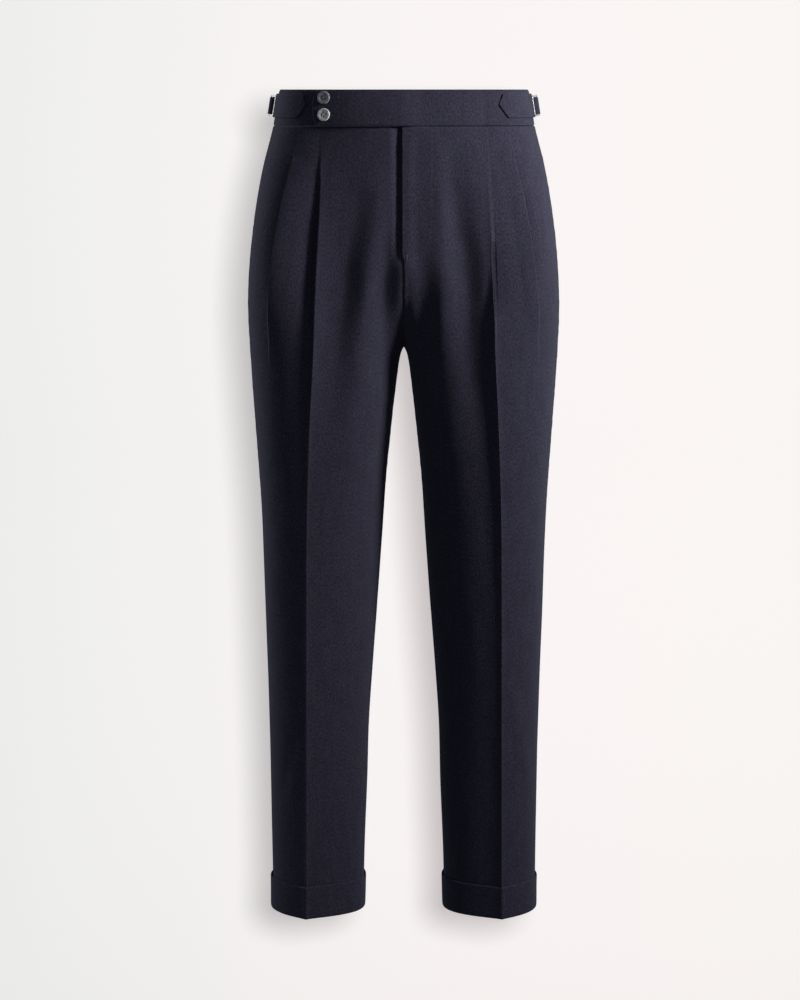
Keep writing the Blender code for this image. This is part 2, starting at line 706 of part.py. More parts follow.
def build():
    for old in list(bpy.data.objects):
        bpy.data.objects.remove(old, do_unlink=True)
    parts = bpy.data.collections.new("pleated_dress_trousers")
    cutters = bpy.data.collections.new("cutters")
    bpy.context.scene.collection.children.link(parts)
    bpy.context.scene.collection.children.link(cutters)
    wool = make_material("wool", NAVY_WOOL, 0.9)
    facing = make_material("facing_wool", NAVY_FACING, 0.9)
    metal = make_material("metal", BRIGHT_METAL, 0.3, 1.0)
    horn = make_material("horn", GREY_HORN, 0.4)

    drops = panel_drops()
    pocket_drops = [drops[0] + FACING_TOP_STEP] + [drop for drop in drops[1:] if drop <= POCKET_END_DROP]
    band_drops = spread((0.0, BAND_HEIGHT - SEAM_GAP), (BAND_ROWS,))
    for side in ("right", "left"):
        right = side == "right"
        front_rows = [front_row(side, drop) for drop in drops]
        back_rows = [back_row(side, drop) for drop in drops]
        facing_rows = [facing_row(side, drop) for drop in pocket_drops]
        band_rows = [band_row(side, drop) for drop in band_drops]
        cloth_wall("front_" + side, front_rows, PANEL_WALL, wool, parts, flip=right)
        cloth_wall("back_" + side, back_rows, PANEL_WALL, wool, parts, flip=not right)
        cloth_wall("pocket_facing_" + side, facing_rows, PANEL_WALL, facing, parts, flip=right)
        cloth_wall("waistband_" + side, band_rows, BAND_WALL, wool, parts, flip=right)
        cloth_wall("adjuster_tab_" + side, adjuster_rows(side), TAB_WALL, wool, parts, flip=right)
        cloth_wall("adjuster_strap_" + side, strap_rows(side), TAB_WALL, wool, parts, flip=right)
        build_buckle(side, metal, parts)
        build_cuff(side, wool, parts)
    for name, drop in BUTTON_DROPS.items():
        build_button(name, drop, horn, parts, cutters)


build()
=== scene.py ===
"""Pleated dress trousers in navy wool: the looks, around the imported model.

Metres, +Z up; the rows of table() are in millimetres. The front faces -Y and the wearer's left leg is at +X.
Heights are given as a drop below the waistband's top edge, and places round a leg as outline() says: 0 side,
1 front crease, 2 inner end, -1 back crease, -2 inner end. A lift is a distance out of the cloth's face.
"""

import math

import bmesh
import bpy
import numpy as np
from mathutils import Matrix, Vector


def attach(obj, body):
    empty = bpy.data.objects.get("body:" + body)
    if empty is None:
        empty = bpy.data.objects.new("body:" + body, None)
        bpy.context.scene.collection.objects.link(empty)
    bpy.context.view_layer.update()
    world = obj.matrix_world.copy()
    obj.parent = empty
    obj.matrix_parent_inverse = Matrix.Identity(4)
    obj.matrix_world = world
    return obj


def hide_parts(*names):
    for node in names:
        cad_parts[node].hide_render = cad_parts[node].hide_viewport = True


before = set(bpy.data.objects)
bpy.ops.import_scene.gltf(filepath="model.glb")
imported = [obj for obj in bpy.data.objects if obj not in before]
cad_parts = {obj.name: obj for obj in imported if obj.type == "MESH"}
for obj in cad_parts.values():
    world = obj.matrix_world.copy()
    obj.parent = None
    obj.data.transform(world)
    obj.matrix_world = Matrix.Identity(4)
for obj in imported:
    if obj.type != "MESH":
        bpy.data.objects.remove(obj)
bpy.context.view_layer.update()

# Driving sizes, the same as the model's

BAND_HEIGHT = 0.044
TROUSER_LENGTH = 1.060
CUFF_HEIGHT = 0.044
FORK_DROP = 0.322
FORK_Y = 0.008
FORK_SPREAD = 0.45
PARTING_DROP = 0.200
FLY_END_DROP = 0.206
POCKET_END_DROP = 0.190
SEAM_GAP = 0.0003
CENTRE_GAP = 0.000005
WAIST_TOP = BAND_HEIGHT / 2
CUFF_TOP_DROP = TROUSER_LENGTH - CUFF_HEIGHT
MIRROR = {"left": 1, "right": -1}
SIDES = ("right", "left")

# Thicknesses of the cloth as it is worn: one layer, and folded or faced pieces
CLOTH = 0.0009
EDGE_ROUND = 0.0008
BAND_THICKNESS = 0.0030
BAND_ROUND = 0.0012
TAB_THICKNESS = 0.0018


def table(columns, *rows, plain=""):
    """Named columns from rows of lengths in millimetres; the columns named as plain hold other numbers."""
    columns = columns.split()
    units = [1 if name in plain.split() else 1000 for name in columns]
    return dict(zip(columns, (np.array(rows, dtype=float) / units).T))


SECTIONS = table(
    "drop side front_x front_y front_out front_in back_x back_y back_out back_in full square",
    (0, 155.5, 97, -92, 13, -21, 88, 93, 25, -25, 1, 1.15),
    (44, 163.2, 98.5, -97, 13, -20, 90, 98.5, 25, -23, 1, 1.22),
    (92, 175.3, 100.8, -105.5, 11, -13, 92, 109.5, 24, -14, 1, 1.34),
    (140, 184, 103.5, -112, 9, -8, 93.5, 118, 23, -7, 1, 1.42),
    (200, 191.5, 107.2, -117, 8, -2, 95, 125, 22, -2, 1.08, 1.44),
    (262, 195.1, 110, -118, 8, 1, 94.5, 126, 20, 4, 1.26, 1.4),
    (322, 194.4, 111.8, -114, 9, 2, 92.5, 115, 18, 9, 1.38, 1.32),
    (420, 188.6, 117, -104, 11, 3, 89, 98, 17, 12, 1.28, 1.27),
    (530, 182, 121.2, -91, 13, 5, 88, 86, 18, 14, 1.12, 1.22),
    (665, 178.2, 123.2, -78, 16, 10, 90.5, 77.5, 18, 16, 1, 1.18),
    (825, 174.2, 124.6, -68, 19, 15, 96, 71, 19, 17, 1, 1.08),
    (1016, 172.2, 126.2, -60, 27, 18, 99, 65.5, 20, 18, 1, 1),
    (1060, 172.4, 126.8, -58.5, 28, 18, 100, 64.5, 20, 18, 1, 1),
    plain="front_out front_in back_out back_in full square",
)
RISE = table(
    "drop front_y back_y",
    (0, -107, 109),
    (44, -113, 115.5),
    (140, -118, 120.5),
    (200, -119, 122),
)
INNER = table(
    "drop x y",
    (322, 0.3, 8),
    (330, 3.6, 7.8),
    (345, 6.6, 7),
    (376, 10.6, 5),
    (420, 15.8, 2),
    (492, 23, 0),
    (570, 28.3, 0),
    (650, 33.8, 0),
    (730, 40.2, 0),
    (809, 45.5, 0),
    (889, 47.6, 0),
    (970, 50.8, 0),
    (1060, 53.4, 0),
)
SEAMS = table(
    "drop side inseam pocket_mouth",
    (0, 0.1, 2, 0.36),
    (44, 0.1, 2, 0.36),
    (92, 0.11, 2, 0.27),
    (140, 0.12, 2, 0.19),
    (190, 0.13, 2, 0.14),
    (322, 0.16, 2, 0.16),
    (430, 0.14, 1.99, 0.14),
    (560, 0.02, 1.95, 0.02),
    (730, -0.1, 1.89, -0.1),
    (900, -0.16, 1.83, -0.16),
    (1060, -0.18, 1.8, -0.18),
    plain="side inseam pocket_mouth",
)

# The reverse pleats: how far past the crease line they lie, how deep the underlay lies under the fold's edge,
# how far the fold runs back under it, whether it is folded at all, and how the cloth rises towards the edge
MAIN_PLEAT = {
    "right": table(
        "drop depth under fold crest",
        (44, 0.4, 4, 0, 0),
        (74, 0.5, 4, 0, 0),
        (86, 1.2, 3, 0, 0),
        (98, 2.4, 6, 0, 0.1),
        (110, 3.4, 10, 1, 0.2),
        (131, 5, 13, 1, 0.2),
        (155, 6.6, 13, 1, 0.3),
        (200, 8, 11, 1, 0.4),
        (262, 7.8, 8, 0.9, 0.6),
        (322, 5.6, 5, 0.6, 0.8),
        (420, 2.2, 2, 0.15, 1.2),
        (505, 0, 1, 0, 1.4),
        (1060, 0, 1, 0, 1.2),
        plain="fold",
    ),
    "left": table(
        "drop depth under fold crest",
        (44, 0.4, 4, 0, 0),
        (100, 0.6, 3, 0, 0),
        (150, 1, 3, 0, 0.4),
        (180, 2.6, 6, 0, 0.6),
        (200, 5, 9, 1, 0.8),
        (240, 5.6, 8, 1, 1),
        (262, 3.6, 6, 1, 1.2),
        (280, 1.6, 3, 0, 1.4),
        (330, 0, 1, 0, 1.6),
        (505, 0, 1, 0, 1.4),
        (1060, 0, 1, 0, 1.2),
        plain="fold",
    ),
}
SIDE_PLEAT = table(
    "drop beyond depth under fold crest",
    (44, 27, 0.4, 4, 0, 0),
    (78, 33.3, 0.5, 4, 0, 0.2),
    (92, 36, 3, 9, 0.9, 0.8),
    (140, 44.3, 5.8, 10, 1, 1.8),
    (206, 50.5, 6, 6, 0.7, 2.4),
    (262, 53.5, 1.6, 3, 0.2, 1.8),
    (310, 53.5, 0.8, 1, 0, 0.6),
    (345, 53, 0, 1, 0, 0),
    (505, 40, 0, 1, 0, 0),
    (1060, 27, 0, 1, 0, 0),
    plain="fold",
)
SIDE_PLEAT_FADE = 0.011
SIDE_CREST = {"right": 3.8, "left": 1.5}
SIDE_CREST_RUN = {"right": 0.044, "left": 0.018}
SIDE_CREST_FALL = 0.019
CREASE_CREST_WIDTH = 0.0075
PLEAT_LANDING = 0.0026

# The drape of each front between the fly and the crease: troughs and crests met on the way, level by level
DRAPE = {
    "right": table(
        "drop x0 x1 h1 x2 h2 x3 h3",
        (44, 3, 18, 0, 34, 0, 60, 0),
        (107, 3, 16, -0.4, 31, 0.4, 62, -0.8),
        (131, 3, 15, -0.8, 32, 1, 58, -2.2),
        (155, 3, 15, -1.2, 34, 1.3, 62, -3.4),
        (179, 3, 18, -2, 38, 1.5, 67, -4.8),
        (203, 3, 21, -4.2, 42, 1.7, 71, -6.2),
        (239, 3, 23, -6.4, 46, 1.8, 75, -7.2),
        (275, 3, 22, -6.4, 50, 1.4, 79, -7.8),
        (311, 3, 23, -4.4, 53, 0.8, 84, -7),
        (359, 3, 28, -0.6, 56, 0.2, 87, -5),
        (407, 3, 32, 0, 60, 0, 90, -3),
        (480, 3, 36, 0, 66, 0, 94, -1.2),
        (1060, 40, 60, 0, 80, 0, 100, 0),
    ),
    "left": table(
        "drop x0 x1 h1 x2 h2 x3 h3 x4 h4",
        (44, 3, 20, 0, 40, 0, 60, 0, 86, 0),
        (107, 3, 20, 0, 44, 0.6, 60, -2.2, 88, 0),
        (131, 3, 20, 0, 43, 0.9, 63, -4.4, 92, -0.2),
        (155, 3, 20, -0.2, 44, 1.1, 65, -5.6, 92, -0.4),
        (179, 3, 21, -0.6, 44, 1.2, 68, -6.8, 96, -0.6),
        (203, 3, 22, -1.6, 45, 1.2, 73, -7.4, 100, -0.8),
        (239, 3, 27, -4, 48, 1.2, 77, -8.2, 100, -3),
        (275, 3, 27, -5.2, 46, 1, 80, -8.8, 94, -7),
        (311, 3, 26, -4.4, 44, 0.6, 85, -8.4, 89, -8.2),
        (359, 3, 24, -1.2, 48, 0, 92, -7.4, 94, -7.4),
        (407, 3, 26, 0, 52, 0, 103, -6, 105, -6),
        (480, 3, 34, 0, 58, 0, 108, -4.4, 110, -4.4),
        (560, 10, 40, 0, 64, 0, 112, -3, 114, -3),
        (700, 30, 50, 0, 84, -0.2, 114, -1.4, 116, -1.4),
        (1060, 50, 64, 0, 90, 0, 114, -0.6, 116, -0.6),
    ),
}

# Soft folds, from a top point to a low one, as distances from the centre; a negative height is a trough
FOLDS = table(
    "front left top_x top_drop low_x low_drop half_width height",
    (1, 1, 138, 760, 160, 880, 9, 1.2),
    (1, 0, 140, 820, 158, 900, 9, -1),
    (1, 1, 12, 262, 15, 320, 6, 2.6),
    (1, 1, 1, 225, 1, 310, 3, 1.2),
    (0, 0, 20, 250, 80, 400, 14, -3.6),
    (0, 1, 24, 262, 92, 420, 15, -3.4),
    (0, 0, 50, 230, 120, 370, 16, 2.4),
    (0, 1, 52, 215, 116, 350, 15, 2.2),
    (0, 0, 150, 560, 70, 640, 14, -2.2),
    (0, 1, 146, 585, 74, 660, 15, -2.4),
    (0, 0, 60, 60, 68, 240, 14, -1.6),
    (0, 1, 56, 60, 60, 250, 13, -1.8),
    plain="front left",
)

# The closing tab's rounded end, as distances past the centre front
TAB_END = table(
    "drop x",
    (0, 103.5),
    (8, 108.5),
    (18, 111),
    (30, 110.5),
    (44, 107),
)
TAB_LIFT = 0.0035
SIDE_DIP = 0.0058
SIDE_DIP_PLACE = 0.22
TAB_RAMP_X = 0.0280
TAB_LANDED_X = -0.0070
BAND_END_X = 0.0100

BUTTON_X = -0.0956
BUTTON_DROPS = {"button_upper": 0.0099, "button_lower": 0.0303}
BUTTON_RADIUS = 0.0080
BUTTON_THICKNESS = 0.0030
BUTTON_LIFT = 0.0040
BUTTON_SIDES = 72
BUTTON_HOLE_RING = 0.0026
BUTTON_HOLE_RADIUS = 0.0011

ADJUSTER_TIP_X = {"right": 0.1188, "left": 0.1150}
ADJUSTER_TIP_DROP = 0.0186
ADJUSTER_TOP_DROP = 0.0050
ADJUSTER_LOW_DROP = 0.0342
ADJUSTER_TOP_SLANT = 0.0056
ADJUSTER_LOW_SLANT = 0.0100
ADJUSTER_REAR = 0.0110
ADJUSTER_REAR_RISE = 0.0008
LAY = 0.0004
STRAP_REAR = -0.0850
STRAP_HALF_HEIGHT = 0.0104
STRAP_THICKNESS = 0.0014
BUCKLE_DROP = 0.0198
BUCKLE_PLACE = 0.058
BUCKLE_LIFT = 0.0058
BUCKLE_TILT = 20
BUCKLE_HEIGHT = 0.0260
BUCKLE_WIDTH = 0.0200
BUCKLE_THICKNESS = 0.0018
BUCKLE_BAR = 0.0022
BUCKLE_CORNER = 0.0030

# The strap's way through the buckle, over its middle bar and back under itself: forwards from the buckle's
# middle, and out from the band
STRAP_WAY = (
    (-0.0220, 0.0011), (-0.0170, 0.0018), (-0.0125, 0.0037), (-0.0085, 0.0061), (-0.0045, 0.0081),
    (-0.0010, 0.0093), (0.0018, 0.0090), (0.0044, 0.0068), (0.0054, 0.0041), (0.0046, 0.0021),
    (0.0026, 0.0014), (-0.0010, 0.0011), (-0.0060, 0.0011),
)

FLY_LAP_X = 0.0026
FLY_UNDERLAP_X = 0.0050
FLY_SETBACK = 0.0044
FLY_SETBACK_START_X = 0.0170
FLY_RISE = 0.0012
EDGE_UNDER = 0.0045
CREASE_HEIGHT = 0.0012
FACING_DEPTH = 0.0030
CUFF_CLOTH = 0.0008
BAND_RUN = {"right": 0.42, "left": 0.53}
TAB_MIDDLE_DROP = (ADJUSTER_TOP_DROP + ADJUSTER_LOW_DROP) / 2
TAB_RISE_RUN = 0.010
TAB_CROWN = 0.0003
STITCH_INSET = 0.0019
BUTTON_TURNS = {"button_upper": 0.2, "button_lower": 0.95}

# Waves of the hanging cloth: the seed of the draws for the right side, one less for the left, and the height
WAVES = {"front": (12, 0.00030), "back": (22, 0.00045), "band": (32, 0.00022), "cuff": (42, 0.00028)}

# Share of a strip's thickness that is left at the edge of its ends
THIN_END = 0.002

# Places beside a crease and beside the inner end where the outline's run is measured, and about how many
# metres one unit of place runs on the band and on a cuff
BESIDE_CREASE = 1.03
BESIDE_END = 1.96
BAND_PLACE_RUN = 0.12
CUFF_PLACE_RUN = 0.09

# Fine relief
MAIN_SETBACK_POWER = {"right": 1.2, "left": 2.0}
CREASE_EDGE_SHARE = 0.3
CREASE_EDGE_WIDTH = 0.0015
PUCKER_HEIGHT = 0.00010
PUCKER_WIDTH = 0.005
PUCKER_PITCHES = (0.013, 0.019, 0.031)
TUCK_DEPTH = 0.0011
TUCK_WIDTH = 0.0016
BAND_BULGE = 0.0005
BAND_GATHER = 0.00008
BAND_GATHER_PITCH = 0.0052
CUFF_SEAM_DEPTH = 0.0007
CUFF_SEAM_WIDTH = 0.0009

# Colours, in linear light
TWILL_PITCH = 0.0011
WOOL_DARK = (0.0086, 0.0079, 0.0158, 1.0)
WOOL_LIGHT = (0.0375, 0.0345, 0.0575, 1.0)
WOOL_SHEEN = (0.62, 0.66, 0.86, 1.0)
THREAD = ((0.012, 0.012, 0.022), (0.034, 0.034, 0.054))
SLIT_THREAD = ((0.006, 0.006, 0.011), (0.014, 0.014, 0.024))
NICKEL = ((0.30, 0.30, 0.29), (0.47, 0.46, 0.44))
HORN = {
    "button_upper": ("dark_horn", (0.060, 0.060, 0.066), (0.150, 0.150, 0.165), (0.330, 0.330, 0.345)),
    "button_lower": ("pale_horn", (0.200, 0.200, 0.200), (0.420, 0.415, 0.405), (0.660, 0.650, 0.630)),
}

# Camera, floor and backdrop
CAMERA = (-0.005, -3.2, WAIST_TOP)
CAMERA_TILT = 9.228
FOCAL_PIXELS = 2527
PHOTO_HEIGHT = 1000
SENSOR = 36.0
BACKDROP_Y = 5.0
FLOOR_Z = -3.1
SWEEP_RADIUS = 2.0
STAGE_REACH = 30.0
# Painted light on the floor and backdrop: their glow runs from the left colour to the right one across this
# reach either side of the middle, brighter and warmer towards the right
PAINTED_LIGHT_REACH = 1.3
PAPER_PAINTED_LIGHT = ((0.401, 0.407, 0.388), (0.486, 0.440, 0.436), (0.503, 0.466, 0.444))
PAPER_BASE = (0.80, 0.79, 0.77, 1.0)
SKY = (0.80, 0.86, 1.0, 1.0)
SKY_STRENGTH = 0.15

# Lights: name, size, power, position, target and colour; the last one lights the floor and backdrop alone,
# from beside the camera, so that the garment's shadow falls close to it
LIGHTS = (
    ("key", 0.33, 28.0, (1.05, -0.60, 0.35), (0.0, 0.0, -0.25), (1.0, 1.0, 1.0)),
    ("fill", 1.6, 3.0, (-1.2, -2.2, 0.4), (0.0, 0.0, -0.5), (0.90, 0.93, 1.0)),
    ("rim_left", 1.2, 19.0, (-1.7, 0.7, 0.2), (0.0, 0.0, -0.5), (0.92, 0.95, 1.0)),
    ("rim_right", 1.2, 7.0, (1.5, 1.1, 0.3), (0.0, 0.0, -0.5), (0.92, 0.95, 1.0)),
    ("shadow_caster", 0.085, 313.0, (CAMERA[0] + 0.040, CAMERA[1], CAMERA[2] + 0.028), (0.0, 5.0, -1.3),
     (1.0, 1.0, 1.0)),
)


# Curves and tables

def read(rows, column, drop):
    """One column of a table at any drops, along a smooth curve through its rows."""
    knots, values = rows["drop"], rows[column]
    drop = np.clip(drop, knots[0], knots[-1])
    b = np.clip(np.searchsorted(knots, drop), 1, len(knots) - 1)
    a, before, after = b - 1, np.maximum(b - 2, 0), np.minimum(b + 1, len(knots) - 1)
    span = knots[b] - knots[a]
    u = (drop - knots[a]) / span
    leave = (values[b] - values[before]) / (knots[b] - knots[before]) * span
    arrive = (values[after] - values[a]) / (knots[after] - knots[a]) * span
    return (values[a] * (2 * u ** 3 - 3 * u ** 2 + 1) + leave * (u ** 3 - 2 * u ** 2 + u)
            + values[b] * (3 * u ** 2 - 2 * u ** 3) + arrive * (u ** 3 - u ** 2))


def ease(value, start, end):
    """0 at start, 1 at end, with a soft rise between."""
    u = np.clip((value - start) / (end - start), 0, 1)
    return u * u * (3 - 2 * u)


def lengths_along(points):
    """How far along a way each of its points lies."""
    return np.concatenate(((0,), np.cumsum(np.linalg.norm(np.diff(points, axis=0), axis=-1))))


def unit_vectors(vectors):
    """The same directions with a length of one."""
    return vectors / np.linalg.norm(vectors, axis=-1, keepdims=True)


def pair(x, y):
    """Points on the plan from their two coordinates."""
    return np.stack(np.broadcast_arrays(x, y), -1).astype(float)


def arc(start, leave, end, arrive, u, full=1.0):
    """Points at u on curves whose ends have the given directions."""
    turn = np.arccos(np.clip((leave * arrive).sum(-1), -1, 1))
    bent = turn > 0.01
    half = np.where(bent, turn, 1.0) / 2
    reach = np.where(bent, 2 / 3 * np.tan(half / 2) / np.sin(half), 1 / 3)
    handle = (full * reach * np.linalg.norm(end - start, axis=-1))[..., None]
    u = np.asarray(u)[..., None]
    v = 1 - u
    middle = (start + leave * handle) * (3 * v * v * u) + (end - arrive * handle) * (3 * v * u * u)
    return start * v ** 3 + middle + end * u ** 3


def spread(start, end, count, bunch=0.0, last=False):
    """Evenly spaced values, bunched at both ends; the last one is left to the next stretch."""
    t = np.arange(count + last) / count
    t = t - bunch * np.sin(2 * math.pi * t) / (2 * math.pi)
    start, end = np.asarray(start)[..., None], np.asarray(end)[..., None]
    return start + (end - start) * t


# The body of the cloth

def crease_line(drop, front):
    """The crease at each level, and the outline's headings as it reaches it and as it leaves it inwards."""
    def pick(name):
        """The front's or the back's own column."""
        return np.where(front, read(SECTIONS, "front_" + name, drop), read(SECTIONS, "back_" + name, drop))
    sign = np.where(front, 1.0, -1.0)
    out, inward = np.radians(pick("out")), np.radians(pick("in"))
    arrive = pair(-np.cos(out), -sign * np.sin(out))
    leave = pair(-np.cos(inward), sign * np.sin(inward))
    return pair(pick("x"), pick("y")), arrive, leave


def leg_arc(drop, front, u):
    """Points from the crease to the innermost point of the leg by itself, past the centre above the fork."""
    below = drop >= FORK_DROP
    end_x = np.where(below, read(INNER, "x", drop), CENTRE_GAP - (FORK_DROP - drop) * FORK_SPREAD)
    end_y = np.where(below, read(INNER, "y", drop), FORK_Y)
    crease, _, leave = crease_line(drop, front)
    arrive = pair(0 * end_x, np.where(front, 1.0, -1.0))
    return arc(crease, leave, pair(end_x, end_y), arrive, u, read(SECTIONS, "full", drop))


def leg_meets_centre(drop, front):
    """How far along its own arc each leg meets the centre line; 1 below the fork."""
    front_met, back_met = np.interp(drop, *MET_FRONT), np.interp(drop, *MET_BACK)
    return np.where(drop >= FORK_DROP, 1.0, np.where(front, front_met, back_met))


def meeting_table(front):
    """Levels, and how far along its own arc the leg meets the centre line at each."""
    levels = FORK_DROP - (FORK_DROP - PARTING_DROP) * np.linspace(1, 0, 600) ** 2
    low, high = np.zeros(levels.shape), np.ones(levels.shape)
    for _ in range(26):
        middle = (low + high) / 2
        short = leg_arc(levels, front, middle)[..., 0] > CENTRE_GAP
        low, high = np.where(short, middle, low), np.where(short, high, middle)
    return levels, (low + high) / 2


MET_FRONT = meeting_table(True)
MET_BACK = meeting_table(False)


def inner_arc(drop, front, u):
    """Points from the crease to the centre seam, or below the fork to the inside of the leg."""
    crease, _, leave = crease_line(drop, front)
    centre_y = np.where(front, read(RISE, "front_y", drop), read(RISE, "back_y", drop))
    joined = arc(crease, leave, pair(CENTRE_GAP, centre_y), pair(-1.0, 0 * centre_y), u)
    if np.all(drop <= PARTING_DROP):
        return joined
    parted = leg_arc(drop, front, u * leg_meets_centre(drop, front))
    return joined + (parted - joined) * ease(drop, PARTING_DROP, FORK_DROP)[..., None]


def outline(place, drop):
    """Points on the outline of the leg at +X."""
    place, drop = np.broadcast_arrays(np.asarray(place, dtype=float), np.asarray(drop, dtype=float))
    wraps = (np.abs(place) > 2) & (drop >= FORK_DROP)
    place = np.where(wraps, place - 4 * np.sign(place), place)
    front, reach = place >= 0, np.abs(place)
    past_centre = reach > 2
    reach = np.where(past_centre, 4 - reach, reach)
    crease, arrive, _ = crease_line(drop, front)
    side = pair(read(SECTIONS, "side", drop), 0)
    square = np.where(front, read(SECTIONS, "square", drop), 1.0)
    outer = arc(side, pair(0, np.where(front, -1.0, 1.0)), crease, arrive, np.minimum(reach, 1), square)
    inner = inner_arc(drop, front, np.clip(reach - 1, 0, 1))
    points = np.where((reach <= 1)[..., None], outer, inner)
    points[..., 0] *= np.where(past_centre, -1, 1)
    return points


def normal(place, drop):
    """Outward directions of the outline."""
    step = 0.004
    along = outline(place + step, drop) - outline(place - step, drop)
    return unit_vectors(pair(-along[..., 1], along[..., 0]))


def surface(side, place, drop, lift=0.0):
    """Points of the cloth's outer face on one leg, moved out by the lift."""
    place, drop, lift = np.broadcast_arrays(place, drop, lift)
    flat = outline(place, drop) + normal(place, drop) * lift[..., None]
    return np.stack((flat[..., 0] * MIRROR[side], flat[..., 1], WAIST_TOP - drop), -1)


def place_at(x, drop):
    """Places on the front half of the outline that lie x from the centre."""
    x, drop = np.broadcast_arrays(np.asarray(x, dtype=float), np.asarray(drop, dtype=float))
    low, high = np.zeros(x.shape), np.full(x.shape, 2.0)
    for _ in range(22):
        middle = (low + high) / 2
        outside = outline(middle, drop)[..., 0] > x
        low, high = np.where(outside, middle, low), np.where(outside, high, middle)
    return (low + high) / 2


def per_metre(place, drop):
    """How much place changes along a metre of the outline."""
    step = 0.01
    length = np.linalg.norm(outline(place + step, drop) - outline(place - step, drop), axis=-1)
    return 2 * step / np.maximum(length, 0.00002)


# Relief

def fold_lift(front, side, x, drop):
    """Sum of the soft folds of a panel."""
    total = np.zeros(np.broadcast(x, drop).shape)
    rows = zip(*(FOLDS[name] for name in FOLDS))
    for is_front, is_left, top_x, top_drop, low_x, low_drop, half_width, height in rows:
        if bool(is_front) != front or bool(is_left) != (side == "left"):
            continue
        run = (drop - top_drop) / (low_drop - top_drop)
        lean = (low_x - top_x) / (low_drop - top_drop)
        off = (x - top_x - (low_x - top_x) * run) / math.hypot(1, lean)
        total += height * np.exp(-(off / half_width) ** 2) * ease(run, -0.3, 0.3) * (1 - ease(run, 0.7, 1.3))
    return total


def waves(kind, side, along, down):
    """Slight unevenness of hanging cloth: a few long crossing waves."""
    seed, height = WAVES[kind]
    draw = np.random.default_rng(seed - (side == "left"))
    total = np.zeros(np.broadcast(along, down).shape)
    for _ in range(14):
        length = draw.uniform(0.025, 0.110)
        angle = draw.uniform(-0.55, 0.55)
        phase = draw.uniform(0, 2 * math.pi)
        travel = along * math.cos(angle) + down * math.sin(angle) * 0.6
        total += math.sqrt(length) * np.sin(2 * math.pi * travel / length + phase)
    return height * total / 1.6


def drape_lift(side, x, drop):
    """Height of a front's troughs and crests; the last of them rises to a sharp edge at the crease."""
    rows = DRAPE[side]
    total, start, height = 0, read(rows, "x0", drop), 0
    for i in range(1, len(rows) // 2):
        end, next_height = read(rows, "x%d" % i, drop), read(rows, "h%d" % i, drop)
        total = total + (next_height - height) * ease(x, start, end)
        start, height = end, next_height
    return total - height * np.clip((x - start) / (read(SECTIONS, "front_x", drop) - start), 0, 1) ** 2


def front_relief(side, x, drop):
    """Relief of a front panel between its crease and the fly."""
    lift = fold_lift(True, side, x, drop) + drape_lift(side, x, drop) + top_tuck(drop)
    lift += waves("front", side, x, drop) * ease(drop, 0.05, 0.16)
    if side == "right":
        under = 1 - ease(x, FLY_UNDERLAP_X - 0.001, FLY_SETBACK_START_X)
        lift -= FLY_SETBACK * under * (1 - ease(drop, FLY_END_DROP - 0.026, FLY_END_DROP + 0.010))
    else:
        rise = FLY_RISE * (1 - ease(x, 0.004, FLY_SETBACK_START_X)) * ease(drop, BAND_HEIGHT, 0.07)
        lift += rise * (1 - ease(drop, FLY_END_DROP + 0.004, FLY_END_DROP + 0.030))
    return lift


def top_tuck(drop):
    """The cloth dips in as it goes into the waistband's seam."""
    return -TUCK_DEPTH * np.exp(-((drop - BAND_HEIGHT) / TUCK_WIDTH) ** 2)


def pleat_depth(pleat, drop):
    """How deep a pleat's underlay lies under its fold."""
    return np.maximum(read(pleat, "depth", drop), 0)


def main_setback(side, x, drop):
    """How far the cloth lies back between the main pleat and the second one."""
    beyond = x - read(SECTIONS, "front_x", drop) - PLEAT_LANDING
    share = np.clip(beyond / (read(SIDE_PLEAT, "beyond", drop) - PLEAT_LANDING), 0, 1)
    return -pleat_depth(MAIN_PLEAT[side], drop) * (1 - share) ** MAIN_SETBACK_POWER[side]


def side_setback(x, drop):
    """How far the cloth lies back on the outer side of the second pleat."""
    beyond = x - read(SECTIONS, "front_x", drop) - read(SIDE_PLEAT, "beyond", drop) - PLEAT_LANDING
    return -pleat_depth(SIDE_PLEAT, drop) * np.exp(-np.maximum(beyond, 0) / SIDE_PLEAT_FADE)


def side_crest(side, x, drop):
    """The cloth rises towards the second pleat's edge and falls away softly past it."""
    off = x - read(SECTIONS, "front_x", drop) - read(SIDE_PLEAT, "beyond", drop)
    rising = np.clip(1 + off / SIDE_CREST_RUN[side], 0, 1)
    falling = np.exp(-np.maximum(off, 0) / SIDE_CREST_FALL)
    return SIDE_CREST[side] * np.maximum(read(SIDE_PLEAT, "crest", drop), 0) * rising * falling


# Grids of cloth: every column has a place and a lift at every level

def folded_edge(edge, unit, inward, last=False):
    """Columns of an edge turned under itself, from the hidden end to the face; the last edge runs back."""
    turn = np.radians(np.linspace(-90, 90, 7))
    hidden = np.linspace(EDGE_UNDER, EDGE_ROUND * 1.5, 3)
    off = np.concatenate((hidden, EDGE_ROUND - EDGE_ROUND * np.cos(turn)))
    lift = np.concatenate((np.full(3, -2 * EDGE_ROUND), EDGE_ROUND * np.sin(turn) - EDGE_ROUND))
    place = edge[:, None] + inward * unit[:, None] * off
    order = -1 if last else 1
    return place[:, ::order], np.broadcast_to(lift, place.shape)[:, ::order]


